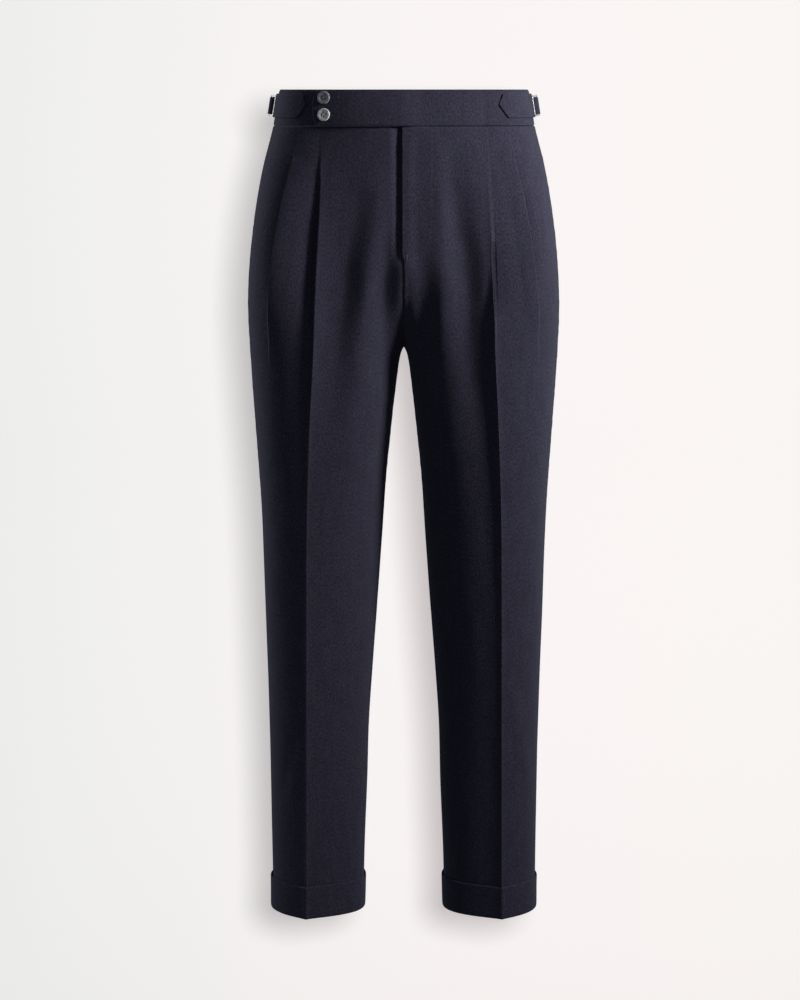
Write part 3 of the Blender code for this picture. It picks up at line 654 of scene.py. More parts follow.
def pleat_columns(pleat, line, drop, unit):
    """Columns of a reverse pleat, from its underlay, back under the fold and round the fold's edge."""
    columns = ("depth", "under", "fold")
    depth, under, fold = (np.maximum(read(pleat, name, drop), 0)[:, None] for name in columns)
    radius = depth / 4
    turn = np.radians(np.linspace(90, -90, 7))
    cos, sin = np.cos(turn), np.sin(turn)
    edge_off, edge_lift = -radius + radius * cos, -radius + radius * sin
    back_off, back_lift = -under - radius * cos, -3 * radius + radius * sin
    share = np.linspace(0, 1, 9)[1:]
    out_off, out_lift = -under + (under + PLEAT_LANDING) * share, -depth + 0 * share
    off = np.hstack((edge_off, back_off, out_off))
    lift = np.hstack((edge_lift, back_lift, out_lift))
    even = PLEAT_LANDING * np.linspace(0, 1, off.shape[1])
    even_lift = -depth * ease(even, 0, PLEAT_LANDING)
    off = even + (off - even) * fold
    lift = even_lift + (lift - even_lift) * fold
    return (line[:, None] - unit[:, None] * off)[:, ::-1], lift[:, ::-1]


def join(*stretches):
    """Places and lifts of stretches of columns side by side; one given as places alone lies flat."""
    both = [stretch if isinstance(stretch, tuple) else (stretch, 0 * stretch) for stretch in stretches]
    return [np.hstack(parts) for parts in zip(*both)]


def ringed(grid):
    """A grid with its first column again as its last."""
    return np.hstack((grid, grid[:, :1]))


def grid_faces(index):
    """The four corners of each face of a grid of point numbers."""
    return np.stack((index[:-1, :-1], index[:-1, 1:], index[1:, 1:], index[1:, :-1]), -1).reshape(-1, 4)


def new_object(name, data, material=None):
    """A new object in the scene, with its material where one is given."""
    if material:
        data.materials.append(material)
    piece = bpy.data.objects.new(name, data)
    bpy.context.scene.collection.objects.link(piece)
    return piece


def cloth_object(name, points, uv, material, thickness=CLOTH, flip=False, ring=False):
    """A smooth mesh from a grid of points, measured on the cut cloth by its UV map and thickened inwards."""
    index = np.arange(points[..., 0].size).reshape(points.shape[:2])
    corners = grid_faces(ringed(index) if ring else index)
    if flip:
        corners = corners[:, ::-1]
    mesh = bpy.data.meshes.new(name)
    mesh.from_pydata(points.reshape(-1, 3).tolist(), [], corners.tolist())
    mesh.uv_layers.new(name="cut").data.foreach_set("uv", uv.reshape(-1, 2)[corners.ravel()].ravel())
    mesh.shade_smooth()
    piece = new_object(name, mesh, material)
    if thickness:
        wall = piece.modifiers.new("wall", "SOLIDIFY")
        wall.thickness = thickness
        wall.offset = -1
    return piece


def cut_measures(points, crease_column):
    """Distances across the cloth from its crease and down it, in metres."""
    steps = np.linalg.norm(np.diff(points, axis=1), axis=-1)
    across = np.hstack((np.zeros((len(points), 1)), np.cumsum(steps, axis=1)))
    across = across - across[:, crease_column:crease_column + 1]
    down = np.broadcast_to(-points[:, :1, 2], across.shape)
    return np.stack((across, down), -1)


def panel_drops():
    """Levels of the panels' rows, closer together at the waist and where the legs part."""
    top = BAND_HEIGHT + SEAM_GAP
    waist = spread(top, 0.060, 10)
    upper = spread(0.060, 0.222, 40)
    parting = 0.222 + (FORK_DROP - 0.222) * np.sin(spread(0, math.pi / 2, 30))
    thigh = FORK_DROP + 0.060 * spread(0, 1, 22) ** 1.6
    leg = spread(FORK_DROP + 0.060, TROUSER_LENGTH - 0.0045, 120, last=True)
    return np.concatenate((waist, upper, parting, thigh, leg))


def crease_ridge(place, unit, height):
    """The pressed crease stands up a little."""
    off = np.abs(np.abs(place) - 1) / unit
    return height * (np.exp(-off / CREASE_CREST_WIDTH) + CREASE_EDGE_SHARE * np.exp(-off / CREASE_EDGE_WIDTH))


def pucker(place, seam, unit, drop, seed):
    """Small ripples along a seam."""
    off = (place - seam[:, None]) / unit[:, None]
    draw = np.random.default_rng(seed)
    phases = [2 * math.pi * drop[:, None] / pitch + draw.uniform(0, 6.28) for pitch in PUCKER_PITCHES]
    return PUCKER_HEIGHT * sum(np.sin(phase) for phase in phases) * np.exp(-(off / PUCKER_WIDTH) ** 2)


def front_grid(side):
    """Points of a front panel and its crease column."""
    drop = panel_drops()
    column, below = drop[:, None], drop >= FORK_DROP
    outer = np.where(drop <= POCKET_END_DROP, read(SEAMS, "pocket_mouth", drop), read(SEAMS, "side", drop))
    outer_unit = per_metre(outer, drop)
    outer = outer + SEAM_GAP / 2 * outer_unit
    second = place_at(read(SECTIONS, "front_x", drop) + read(SIDE_PLEAT, "beyond", drop), drop)
    main_unit = per_metre(np.full(drop.shape, BESIDE_CREASE), drop)
    lapped = 1 - ease(drop, FLY_END_DROP - 0.009, FLY_END_DROP + 0.002)
    reach = (FLY_LAP_X if side == "left" else FLY_UNDERLAP_X) * lapped
    end = np.where(below, read(SEAMS, "inseam", drop), 2.0)
    end_unit = per_metre(np.minimum(end, BESIDE_END), drop)
    end = end + (reach - SEAM_GAP / 2 * below) * end_unit

    edge = folded_edge(outer, outer_unit, 1)
    side_pleat = pleat_columns(SIDE_PLEAT, second, drop, per_metre(second, drop))
    main_pleat = pleat_columns(MAIN_PLEAT[side], np.ones(drop.shape), drop, main_unit)
    inner = folded_edge(end, end_unit, -1, last=True)
    first = spread(edge[0][:, -1], side_pleat[0][:, 0], 26, 0.6)[:, 1:]
    between = spread(side_pleat[0][:, -1], main_pleat[0][:, 0], 26, 0.8)[:, 1:]
    body = spread(main_pleat[0][:, -1], inner[0][:, 0], 56, 0.86)[:, 1:]
    place, lift = join(edge, first, side_pleat, between, main_pleat, body, inner)
    x = outline(place, column)[..., 0]
    side_start = edge[0].shape[1] + first.shape[1]
    main_start = side_start + side_pleat[0].shape[1] + between.shape[1]
    lift[:, :side_start] += side_setback(x, column)[:, :side_start]
    lift[:, :main_start] += main_setback(side, x, column)[:, :main_start]
    lift += front_relief(side, x, column) + side_crest(side, x, column)
    lift += crease_ridge(place, main_unit[:, None], read(MAIN_PLEAT[side], "crest", column))
    lift += pucker(place, outer, outer_unit, drop, 3) + pucker(place, end, end_unit, drop, 4)
    return surface(side, place, column, lift), main_start + main_pleat[0].shape[1] - 1


def back_grid(side):
    """Points of a back panel and its crease column."""
    drop = panel_drops()
    column, below = drop[:, None], drop >= FORK_DROP
    seam = read(SEAMS, "side", drop)
    seam_unit = per_metre(seam, drop)
    outer = seam - SEAM_GAP / 2 * seam_unit
    end = np.where(below, read(SEAMS, "inseam", drop) - 4, -2.0)
    end_unit = per_metre(np.where(below, end, -BESIDE_END), drop)
    end = end + SEAM_GAP / 2 * end_unit * below
    edge, inner = folded_edge(outer, seam_unit, -1), folded_edge(end, end_unit, 1, last=True)
    first = spread(edge[0][:, -1], -np.ones(drop.shape), 60, 0.85)[:, 1:]
    place, lift = join(edge, first, spread(-np.ones(drop.shape), inner[0][:, 0], 60, 0.85), inner)
    x = outline(place, column)[..., 0]
    crease_unit = per_metre(np.full(drop.shape, -BESIDE_CREASE), drop)[:, None]
    lift += fold_lift(False, side, x, column) + top_tuck(column)
    lift += crease_ridge(place, crease_unit, CREASE_HEIGHT * ease(column, 0.10, 0.42))
    lift += pucker(place, outer, seam_unit, drop, 5) + pucker(place, end, end_unit, drop, 6)
    lift += waves("back", side, x, column) * ease(column, 0.05, 0.16)
    return surface(side, place, column, lift), edge[0].shape[1] + first.shape[1]


def facing_grid(side):
    """Points of the pocket facing, from the side seam to under the front panel past the pocket's mouth."""
    drop = spread(BAND_HEIGHT + SEAM_GAP, POCKET_END_DROP + 0.012, 44, last=True)
    column, seam, mouth = drop[:, None], read(SEAMS, "side", drop), read(SEAMS, "pocket_mouth", drop)
    unit = per_metre(seam, drop)
    start = seam + SEAM_GAP / 2 * unit
    edge = folded_edge(start, unit, 1)
    place, lift = join(edge, spread(edge[0][:, -1], mouth + 0.10, 30, last=True)[:, 1:])
    under = ease(place, start[:, None] + 0.004, (mouth - 0.004)[:, None])
    under = np.maximum(under, ease(column, POCKET_END_DROP - 0.030, POCKET_END_DROP - 0.004))
    x = outline(place, column)[..., 0]
    lift = lift - FACING_DEPTH * under + side_setback(x, column) + side_crest(side, x, column)
    lift += top_tuck(column)
    return surface(side, place, column, lift), 0


def make_panels(wool):
    """The front and back panels and the pocket facings."""
    made = {}
    for side in SIDES:
        right = side == "right"
        for kind, grid, flip in (
            ("front", front_grid, right),
            ("back", back_grid, not right),
            ("pocket_facing", facing_grid, right),
        ):
            points, crease = grid(side)
            name = kind + "_" + side
            made[name] = cloth_object(name + "_cloth", points, cut_measures(points, crease), wool, flip=flip)
    return made


# Closed strips: bands, tabs and straps with rounded edges

def rounded_section(height, thickness, radius, face_steps):
    """Rings of a rounded cross-section: how far down from its top edge and out from its inner face."""
    radius = np.minimum(radius, np.minimum(height, thickness) / 2)
    share = np.arange(1, face_steps) / face_steps
    straight = height - 2 * radius
    downs, outs = [radius + straight * share], [thickness + 0 * share]
    for corner in range(4):
        angle = np.radians(90 * corner + np.linspace(0, 90, 5))
        centre_down = height - radius if corner in (0, 1) else radius
        centre_out = thickness - radius if corner in (0, 3) else radius
        downs.append(centre_down + radius * np.sin(angle))
        outs.append(centre_out + radius * np.cos(angle))
        if corner == 1:
            downs.append(height - radius - straight * share)
            outs.append(0 * thickness + 0 * share)
    return np.hstack(downs), np.hstack(outs)


def end_taper(distance, radius):
    """Share of the full thickness at a distance from a rounded end."""
    return np.sqrt(np.clip(1 - (1 - np.clip(distance / radius, 0, 1)) ** 2, 0, 1))


def close_form(form, mesh, distance):
    """Weld a form's points that lie within a distance, turn its faces outwards and write it to the mesh."""
    if distance:
        bmesh.ops.remove_doubles(form, verts=form.verts, dist=distance)
    bmesh.ops.recalc_face_normals(form, faces=form.faces)
    form.to_mesh(mesh)
    form.free()


def mend(mesh, distance):
    """Weld a mesh's points that lie within a distance and turn its faces outwards."""
    form = bmesh.new()
    form.from_mesh(mesh)
    close_form(form, mesh, distance)


def closed_strip(name, points, material):
    """A closed piece of cloth from its cross-sections; UV: x along it, y round its cross-section."""
    along = np.cumsum(np.linalg.norm(np.diff(points, axis=0), axis=-1).mean(axis=1))
    around = np.cumsum(np.linalg.norm(np.diff(points, axis=1), axis=-1), axis=1)
    uv = np.zeros(points.shape[:2] + (2,))
    uv[1:, :, 0], uv[:, 1:, 1] = along[:, None], around
    strip = cloth_object(name + "_cloth", points, uv, material, 0, ring=True)
    mend(strip.data, 0.00001)
    return strip


def band_columns(side):
    """Places of a waistband half's cross-sections, level by level, and their distances from its ends."""
    drop = np.linspace(0, BAND_HEIGHT - SEAM_GAP, 12)
    if side == "right":
        end = place_at(np.full(drop.shape, BAND_END_X), drop)
    else:
        end = 4 - place_at(read(TAB_END, "x", drop), drop)
    length = BAND_RUN[side]
    near = np.array((0.0, 0.00012, 0.0004, 0.0008, 0.0014)) / length
    share = np.concatenate((near, np.linspace(near[-1], 1 - near[-1], 330)[1:-1], 1 - near[::-1]))
    return drop, end, share, length


def band_grid(side):
    """Points of half of the waistband, from the centre back to its front end."""
    levels, ends, share, length = band_columns(side)
    height = np.full((len(share), 1), BAND_HEIGHT - SEAM_GAP)
    taper = np.minimum(end_taper(share * length, 0.0010), end_taper((1 - share) * length, 0.0012))
    down, out = rounded_section(height, np.full(height.shape, BAND_THICKNESS), BAND_ROUND, 22)
    start = -2 + CENTRE_GAP * per_metre(np.float64(-1.99), np.float64(0.02))
    place = start + (np.interp(down, levels, ends) - start) * share[:, None]
    x = outline(place, down)[..., 0]
    outer = out / BAND_THICKNESS
    out = BAND_THICKNESS / 2 + (out - BAND_THICKNESS / 2) * taper[:, None]
    lift = out - BAND_THICKNESS
    lift += outer * BAND_BULGE * np.sin(math.pi * np.clip(down / BAND_HEIGHT, 0, 1))
    lift += waves("band", side, place * BAND_PLACE_RUN, down) * ease(down, 0, 0.012)
    gathers = np.sin(place * BAND_PLACE_RUN / BAND_GATHER_PITCH * 2 * math.pi)
    lift += BAND_GATHER * outer * gathers * ease(down, 0.036, 0.043)
    if side == "left":
        front_x = np.where(place > 1, x, 1.0)
        lift += TAB_LIFT * (1 - ease(front_x, TAB_LANDED_X, TAB_RAMP_X))
    dip = SIDE_DIP * np.clip(1 - (place / SIDE_DIP_PLACE) ** 2, 0, 1) ** 2
    return surface(side, place, down + dip * (1 - ease(down, 0.0, 0.020)), lift)


ROUND_PLACES = np.linspace(-1.4, 1.8, 900)
ROUND_POINTS = outline(ROUND_PLACES, BUCKLE_DROP)
ROUND_LENGTHS = lengths_along(ROUND_POINTS)
ROUND_LENGTHS = ROUND_LENGTHS - np.interp(BUCKLE_PLACE, ROUND_PLACES, ROUND_LENGTHS)


def place_of(forward):
    """Place at a distance forwards round the band from the buckle's middle."""
    return np.interp(forward, ROUND_LENGTHS, ROUND_PLACES)


def forward_of(place):
    """Distance forwards round the band from the buckle's middle to a place."""
    return np.interp(place, ROUND_PLACES, ROUND_LENGTHS)


def smooth_way(points, step):
    """Evenly spaced points on a smooth curve through the given ones."""
    points = np.array(points, dtype=float)
    lengths = lengths_along(points)
    rows = {"drop": lengths, **{str(i): points[:, i] for i in range(points.shape[1])}}
    at = np.linspace(0, lengths[-1], max(2, int(lengths[-1] / step)))
    return np.stack([read(rows, str(i), at) for i in range(points.shape[1])], -1)


def strip_points(side, way, top, low, thickness, radius, face_steps, crown=0.0):
    """Points of a strip laid along a way round the band, with its width up and down."""
    step = unit_vectors(np.gradient(way, axis=0))
    height = (low - top)[:, None]
    down, out = rounded_section(height, thickness[:, None], radius, face_steps)
    off = out - thickness[:, None] / 2
    full = thickness[:, None] / thickness.max()
    off += crown * full * np.sin(math.pi * down / height) * (out > thickness[:, None] * 0.6)
    forward = way[:, :1] - step[:, 1:] * off
    lift = way[:, 1:] + step[:, :1] * off
    return surface(side, place_of(forward), top[:, None] + down, lift)


def tab_edges(from_tip):
    """Upper and lower edge of the pointed tab at a distance behind its tip."""
    top_share = np.minimum(from_tip / ADJUSTER_TOP_SLANT, 1.0)
    low_share = np.minimum(from_tip / ADJUSTER_LOW_SLANT, 1.0)
    top = ADJUSTER_TIP_DROP + (ADJUSTER_TOP_DROP - ADJUSTER_TIP_DROP) * top_share
    low = ADJUSTER_TIP_DROP + (ADJUSTER_LOW_DROP - ADJUSTER_TIP_DROP) * low_share
    return top, low


def tab_tip(side):
    """How far forwards of the buckle's middle the tab's tip lies."""
    return forward_of(place_at(ADJUSTER_TIP_X[side], TAB_MIDDLE_DROP))


def tab_rise(forward):
    """How far the tab's rear end rises over the strap."""
    return ADJUSTER_REAR_RISE * (1 - ease(forward, ADJUSTER_REAR, ADJUSTER_REAR + TAB_RISE_RUN))


def adjuster_tab(side, material):
    """The pointed tab on the front of the band; its rear end rises over the strap."""
    tip = tab_tip(side)
    near = np.array((0.0, 0.0002, 0.0005, 0.0009, 0.0014))
    length = tip - ADJUSTER_REAR
    back = np.concatenate((near, np.linspace(0.0019, length - 0.0014, 70), length - near[-2::-1]))
    forward = tip - back
    taper = np.minimum(end_taper(back, 0.0010), end_taper(length - back, 0.0010))
    thickness = TAB_THICKNESS * np.maximum(taper, THIN_END)
    way = np.stack((forward, LAY + TAB_THICKNESS / 2 + tab_rise(forward)), -1)
    from_tip = outline(place_of(forward), TAB_MIDDLE_DROP)[:, 0] - ADJUSTER_TIP_X[side]
    top, low = tab_edges(np.maximum(from_tip, 0.0006))
    points = strip_points(side, way, top, low, thickness, 0.0009, 44, TAB_CROWN)
    return closed_strip("adjuster_tab_" + side, points, material)


def adjuster_strap(side, material):
    """The strap that comes from the back, over the buckle's middle bar and under the tab."""
    near = np.array((0.0, 0.0002, 0.0005, 0.0010))
    flat = np.concatenate((near, np.arange(0.002, STRAP_WAY[0][0] - STRAP_REAR, 0.0012))) + STRAP_REAR
    lying = np.stack((flat, np.full(flat.shape, LAY + STRAP_THICKNESS / 2)), -1)
    way = np.vstack((lying, smooth_way(STRAP_WAY, 0.0006)))
    run = lengths_along(way)
    taper = np.minimum(end_taper(run, 0.0009), end_taper(run[-1] - run, 0.0009))
    top = np.full(len(way), BUCKLE_DROP - STRAP_HALF_HEIGHT)
    low = np.full(len(way), BUCKLE_DROP + STRAP_HALF_HEIGHT)
    points = strip_points(side, way, top, low, STRAP_THICKNESS * np.maximum(taper, THIN_END), 0.0007, 20)
    return closed_strip("adjuster_strap_" + side, points, material)


# The turned-up cuffs: from up inside the leg, round the bottom edge and up the outside to a turned top edge

CUFF_WAY = (
    (TROUSER_LENGTH - 0.034, -0.0018), (TROUSER_LENGTH - 0.012, -0.0019), (TROUSER_LENGTH - 0.0022, -0.0018),
    (TROUSER_LENGTH - 0.0006, -0.0008), (TROUSER_LENGTH, 0.0004), (TROUSER_LENGTH - 0.0006, 0.0017),
    (TROUSER_LENGTH - 0.0024, 0.0025), (TROUSER_LENGTH - 0.012, 0.0027), (CUFF_TOP_DROP + 0.016, 0.0027),
    (CUFF_TOP_DROP + 0.0022, 0.0027), (CUFF_TOP_DROP + 0.0005, 0.0024), (CUFF_TOP_DROP, 0.0018),
    (CUFF_TOP_DROP + 0.0006, 0.0012), (CUFF_TOP_DROP + 0.0040, 0.0011),
)


def cuff(side, material):
    """A turned-up cuff all round the leg, pressed at its creases and drawn in at its seams."""
    way = smooth_way(CUFF_WAY, 0.0009)
    drop, lift = way[:, :1], way[:, 1:]
    creases = ((0.0, 1.0, 60), (1.0, 3.0, 120), (3.0, 4.0, 60))
    sweep = np.concatenate([spread(*stretch, 0.85) for stretch in creases])
    place = np.where(sweep > 2, sweep - 4, sweep)[None, :]
    seam, inseam = read(SEAMS, "side", drop), read(SEAMS, "inseam", drop)
    unit = per_metre(*np.broadcast_arrays(place, drop))
    gap = np.minimum(np.abs(place - seam), np.abs(np.abs(place) - inseam) + (place < 0)) / unit
    near_top = ease(drop, CUFF_TOP_DROP - 0.01, CUFF_TOP_DROP + 0.02)
    relief = waves("cuff", side, place * CUFF_PLACE_RUN, drop) * near_top
    relief += crease_ridge(place, unit, CREASE_HEIGHT)
    relief -= CUFF_SEAM_DEPTH * np.exp(-(gap / CUFF_SEAM_WIDTH) ** 2)
    points = surface(side, place, drop, lift + relief * ease(lift, 0.0, 0.0015))
    return cloth_object("cuff_" + side + "_cloth", points, cut_measures(points, 0), material, CUFF_CLOTH,
                        flip=side == "left", ring=True)


# Hard pieces

def seat_on(side, place, drop, lift, turn=0.0):
    """Placing of a flat piece on the cloth: X forwards round the waist, Y up the cloth, Z outwards."""
    def at(place, drop):
        """The point there, at the same lift."""
        return Vector(surface(side, np.float64(place), np.float64(drop), np.float64(lift)))
    here = at(place, drop)
    along = (at(place + 0.02, drop) - at(place - 0.02, drop)).normalized()
    up = (at(place, drop - 0.004) - at(place, drop + 0.004)).normalized()
    out = along.cross(up)
    if out.dot(Vector((here.x, here.y, 0))) < 0:
        along, out = -along, -out
    up = out.cross(along)
    axes = Matrix((along, up, out)).transposed().to_4x4()
    return Matrix.Translation(here) @ axes @ Matrix.Rotation(turn, 4, "Z")


def rounded_rectangle(width, height, radius, centre_x=0.0, steps=8):
    """Corner points of a rounded rectangle, anticlockwise."""
    points = []
    for corner in range(4):
        cx = (width / 2 - radius) * (1 if corner in (0, 3) else -1)
        cy = (height / 2 - radius) * (1 if corner in (0, 1) else -1)
        for step in range(steps + 1):
            angle = math.pi / 2 * (corner + step / steps)
            points.append((centre_x + cx + radius * math.cos(angle), cy + radius * math.sin(angle)))
    return points


def shaped(piece):
    """A new mesh of what a curve or a modifier makes of an object."""
    return bpy.data.meshes.new_from_object(piece.evaluated_get(bpy.context.evaluated_depsgraph_get()))


def buckle(side, material):
    """A flat slide buckle with two slots and a middle bar, its edges rounded."""
    curve = bpy.data.curves.new("buckle", "CURVE")
    curve.dimensions = "2D"
    curve.fill_mode = "BOTH"
    bevel = 0.0005
    curve.extrude = BUCKLE_THICKNESS / 2 - bevel
    curve.bevel_depth = bevel
    curve.bevel_resolution = 3
    curve.offset = -bevel
    slot_width = (BUCKLE_WIDTH - 3 * BUCKLE_BAR) / 2
    slot_height = BUCKLE_HEIGHT - 2 * BUCKLE_BAR
    slot_x = (slot_width + BUCKLE_BAR) / 2
    for loop in (
        rounded_rectangle(BUCKLE_WIDTH, BUCKLE_HEIGHT, BUCKLE_CORNER),
        rounded_rectangle(slot_width, slot_height, BUCKLE_CORNER / 2, slot_x),
        rounded_rectangle(slot_width, slot_height, BUCKLE_CORNER / 2, -slot_x),
    ):
        spline = curve.splines.new("POLY")
        spline.points.add(len(loop) - 1)
        for point, (x, y) in zip(spline.points, loop):
            point.co = (x, y, 0, 1)
        spline.use_cyclic_u = True
    flat = new_object("buckle_" + side, curve)
    tilt = Matrix.Rotation(math.radians(-MIRROR[side] * BUCKLE_TILT), 4, "Y")
    flat.matrix_world = seat_on(side, BUCKLE_PLACE, BUCKLE_DROP, BUCKLE_LIFT) @ tilt
    bpy.context.view_layer.update()
    mesh = shaped(flat)
    mesh.transform(flat.matrix_world)
    mend(mesh, 0.000005)
    mesh.materials.clear()
    piece = new_object(flat.name + "_piece", mesh, material)
    bpy.data.objects.remove(flat, do_unlink=True)
    mesh.shade_smooth()
    mesh.set_sharp_from_angle(angle=math.radians(50))
    return piece


BUTTON_PROFILE = (
    (0.0, 0.87), (0.30, 0.86), (0.50, 0.87), (0.585, 0.88), (0.625, 0.91), (0.665, 0.95), (0.72, 0.985),
    (0.79, 1.0), (0.88, 0.97), (0.955, 0.86), (0.99, 0.68), (1.0, 0.50), (0.985, 0.32), (0.93, 0.14),
    (0.82, 0.03), (0.60, 0.0), (0.0, 0.0),
)


def button(name, drop, turn, material):
    """A turned horn button with a raised rim, a dished middle and four holes."""
    form = bmesh.new()
    verts = [form.verts.new((r * BUTTON_RADIUS, 0, h * BUTTON_THICKNESS)) for r, h in BUTTON_PROFILE]
    for upper, lower in zip(verts, verts[1:]):
        form.edges.new((upper, lower))
    bmesh.ops.spin(form, geom=form.verts[:] + form.edges[:], cent=(0, 0, 0), axis=(0, 0, 1),
                   angle=2 * math.pi, steps=BUTTON_SIDES, use_merge=True)
    mesh = bpy.data.meshes.new(name)
    close_form(form, mesh, 0.00002)
    piece = new_object(name + "_piece", mesh, material)
    holes = bmesh.new()
    for corner in range(4):
        angle = math.pi / 4 + corner * math.pi / 2
        centre = Vector((math.cos(angle), math.sin(angle), 0)) * BUTTON_HOLE_RING
        centre.z = BUTTON_THICKNESS / 2
        bmesh.ops.create_cone(holes, cap_ends=True, segments=20, radius1=BUTTON_HOLE_RADIUS,
                              radius2=BUTTON_HOLE_RADIUS, depth=BUTTON_THICKNESS * 3,
                              matrix=Matrix.Translation(centre))
    hole_mesh = bpy.data.meshes.new(name + "_holes")
    holes.to_mesh(hole_mesh)
    holes.free()
    cutter = new_object(name + "_holes", hole_mesh)
    piece.modifiers.new("holes", "BOOLEAN").object = cutter
    bpy.context.view_layer.update()
    drilled = shaped(piece)
    piece.modifiers.clear()
    drilled.transform(button_seat(drop, turn))
    drilled.shade_smooth()
    drilled.set_sharp_from_angle(angle=math.radians(38))
    piece.data = drilled
    bpy.data.objects.remove(cutter, do_unlink=True)
    return piece


def button_seat(drop, turn):
    """Placing of a button on the wearer's right half of the band, turned as it was sewn."""
    return seat_on("right", place_at(-BUTTON_X, drop), drop, BUTTON_LIFT, turn)


def tube_mesh(name, ways, radius, material, sides=8):
    """Round threads along the given ways, joined into one piece and drawn in at their ends."""
    verts, faces = [], []
    angle = np.linspace(0, 2 * math.pi, sides, endpoint=False)[None, :, None]
    for way in ways:
        way = np.asarray(way, dtype=float)
        along = unit_vectors(np.gradient(way, axis=0))
        spare = np.where(np.abs(along[:, 2:]) > 0.8, (1.0, 0, 0), (0, 0, 1.0))
        first = unit_vectors(np.cross(along, spare))
        second = np.cross(along, first)
        steps = np.arange(len(way))
        inside = (1 - np.minimum(steps, steps[::-1]) / 1.6).clip(0)
        reach = radius * np.sqrt(np.maximum(1 - inside ** 2, 0.02))[:, None, None]
        ring = way[:, None] + (first[:, None] * np.cos(angle) + second[:, None] * np.sin(angle)) * reach
        index = len(verts) + np.arange(len(way) * sides).reshape(-1, sides)
        verts += ring.reshape(-1, 3).tolist()
        faces += grid_faces(ringed(index)).tolist() + [index[0, ::-1].tolist(), index[-1].tolist()]
    mesh = bpy.data.meshes.new(name)
    mesh.from_pydata(verts, [], faces)
    mend(mesh, 0)
    mesh.shade_smooth()
    return new_object(name, mesh, material)


def button_thread(name, drop, turn, material):
    """Two thread bars across the button's holes, each of several strands, and the shank below."""
    seat = button_seat(drop, turn)
    hole = BUTTON_HOLE_RING / math.sqrt(2)
    ways = []
    for side_y in (-hole, hole):
        for strand in (-0.20, 0.0, 0.20):
            across = np.linspace(-1, 1, 11)
            rise = 0.62 * BUTTON_THICKNESS + 0.0003 - 0.0016 * np.clip(np.abs(across) - 0.72, 0, 1)
            rise = np.where(np.abs(across) > 0.95, -0.0006, rise)
            ways.append([seat @ Vector((hole * a, side_y + strand * 0.001, z)) for a, z in zip(across, rise)])
    for turn_at in range(6):
        angle = turn_at * math.pi / 3
        x, y = 0.0009 * math.cos(angle), 0.0009 * math.sin(angle)
        ways.append([seat @ Vector((x, y, z)) for z in np.linspace(0.0006, -0.0009, 5)])
    return tube_mesh(name + "_thread", ways, 0.00014, material)


def buttonhole(name, drop, material):
    """A corded buttonhole with close stitches round its slit and a bar at its inner end."""
    outer_x, inner_x = BUTTON_X - 0.001, BUTTON_X + 0.0160
    edge = ((0.0002, -0.0001), (0.0005, 0.00035), (0.0011, 0.0004), (0.0017, 0.0002), (0.0019, -0.0002))
    other_edge = [(-down, up) for down, up in edge]
    bar = ((-0.0024, -0.0002), (-0.0018, 0.0004), (0.0, 0.0006), (0.0018, 0.0004), (0.0024, -0.0002))
    edge_x = np.linspace(outer_x, inner_x, 52)
    bar_x = inner_x + 0.0004 + 0.00016 * np.arange(9)
    stitches = [(x, way) for xs, way in ((edge_x, edge), (edge_x, other_edge), (bar_x, bar)) for x in xs]
    x = np.array([x for x, way in stitches])[:, None]
    down, up = np.array([way for x, way in stitches]).transpose(2, 0, 1)
    ways = surface("left", 4 - place_at(-x, drop + down), drop + down, TAB_LIFT + up)
    return tube_mesh(name.replace("button", "buttonhole"), ways, 0.00020, material, sides=5)


# Stitches

def stitch_run(way, normals, pitch, length, sink=0.00004, depth=0.0005):
    """Ways of the single stitches of a seam: short arcs that come up out of the cloth and go down again."""
    lengths = lengths_along(way)
    ways = []
    for start in np.arange(0, lengths[-1] - length, pitch):
        at = start + length * np.linspace(0, 1, 6)
        rise = np.array((-1.0, 0.1, 0.5, 0.5, 0.1, -1.0)) * depth * 0.4 - sink
        here = np.stack([np.interp(at, lengths, way[:, i]) for i in range(3)], -1)
        out = np.stack([np.interp(at, lengths, normals[:, i]) for i in range(3)], -1)
        ways.append(here + out * rise[:, None])
    return ways


def face_at(side, place, drop, lift):
    """Points on the cloth's face, and the directions straight out of it."""
    step = 0.001
    low, high = surface(side, place, drop, lift), surface(side, place, drop, lift + step)
    return low, (high - low) / step


def on_front(side, x, drop):
    """Points and outward directions on a front panel between its crease and the fly."""
    return face_at(side, place_at(x, drop), drop, front_relief(side, x, drop))


FLY_STITCH = (
    (0.0335, 0.0455), (0.0337, 0.0900), (0.0338, 0.1350), (0.0332, 0.1580), (0.0312, 0.1760),
    (0.0268, 0.1905), (0.0200, 0.1990), (0.0110, 0.2035), (0.0020, 0.2060),
)


def make_stitches(material):
    """The fly's curved stitching on the left front, and the bar at its end."""
    way = smooth_way(FLY_STITCH, 0.0015)
    points, out = on_front("left", way[:, 0], way[:, 1])
    seam = tube_mesh("fly_stitches", stitch_run(points, out, 0.0030, 0.0022), 0.00022, material, 6)
    drops = np.linspace(0.1985, 0.2065, 9)
    ways = []
    for x in (0.0026, 0.0030, 0.0034, 0.0038):
        points, out = on_front("left", np.full(9, x), drops)
        ways.append(points + out * (0.0003 - 0.0006 * (np.abs(np.linspace(-1, 1, 9)) > 0.9))[:, None])
    return [seam, tube_mesh("fly_bar_tack", ways, 0.00024, material, 6)]


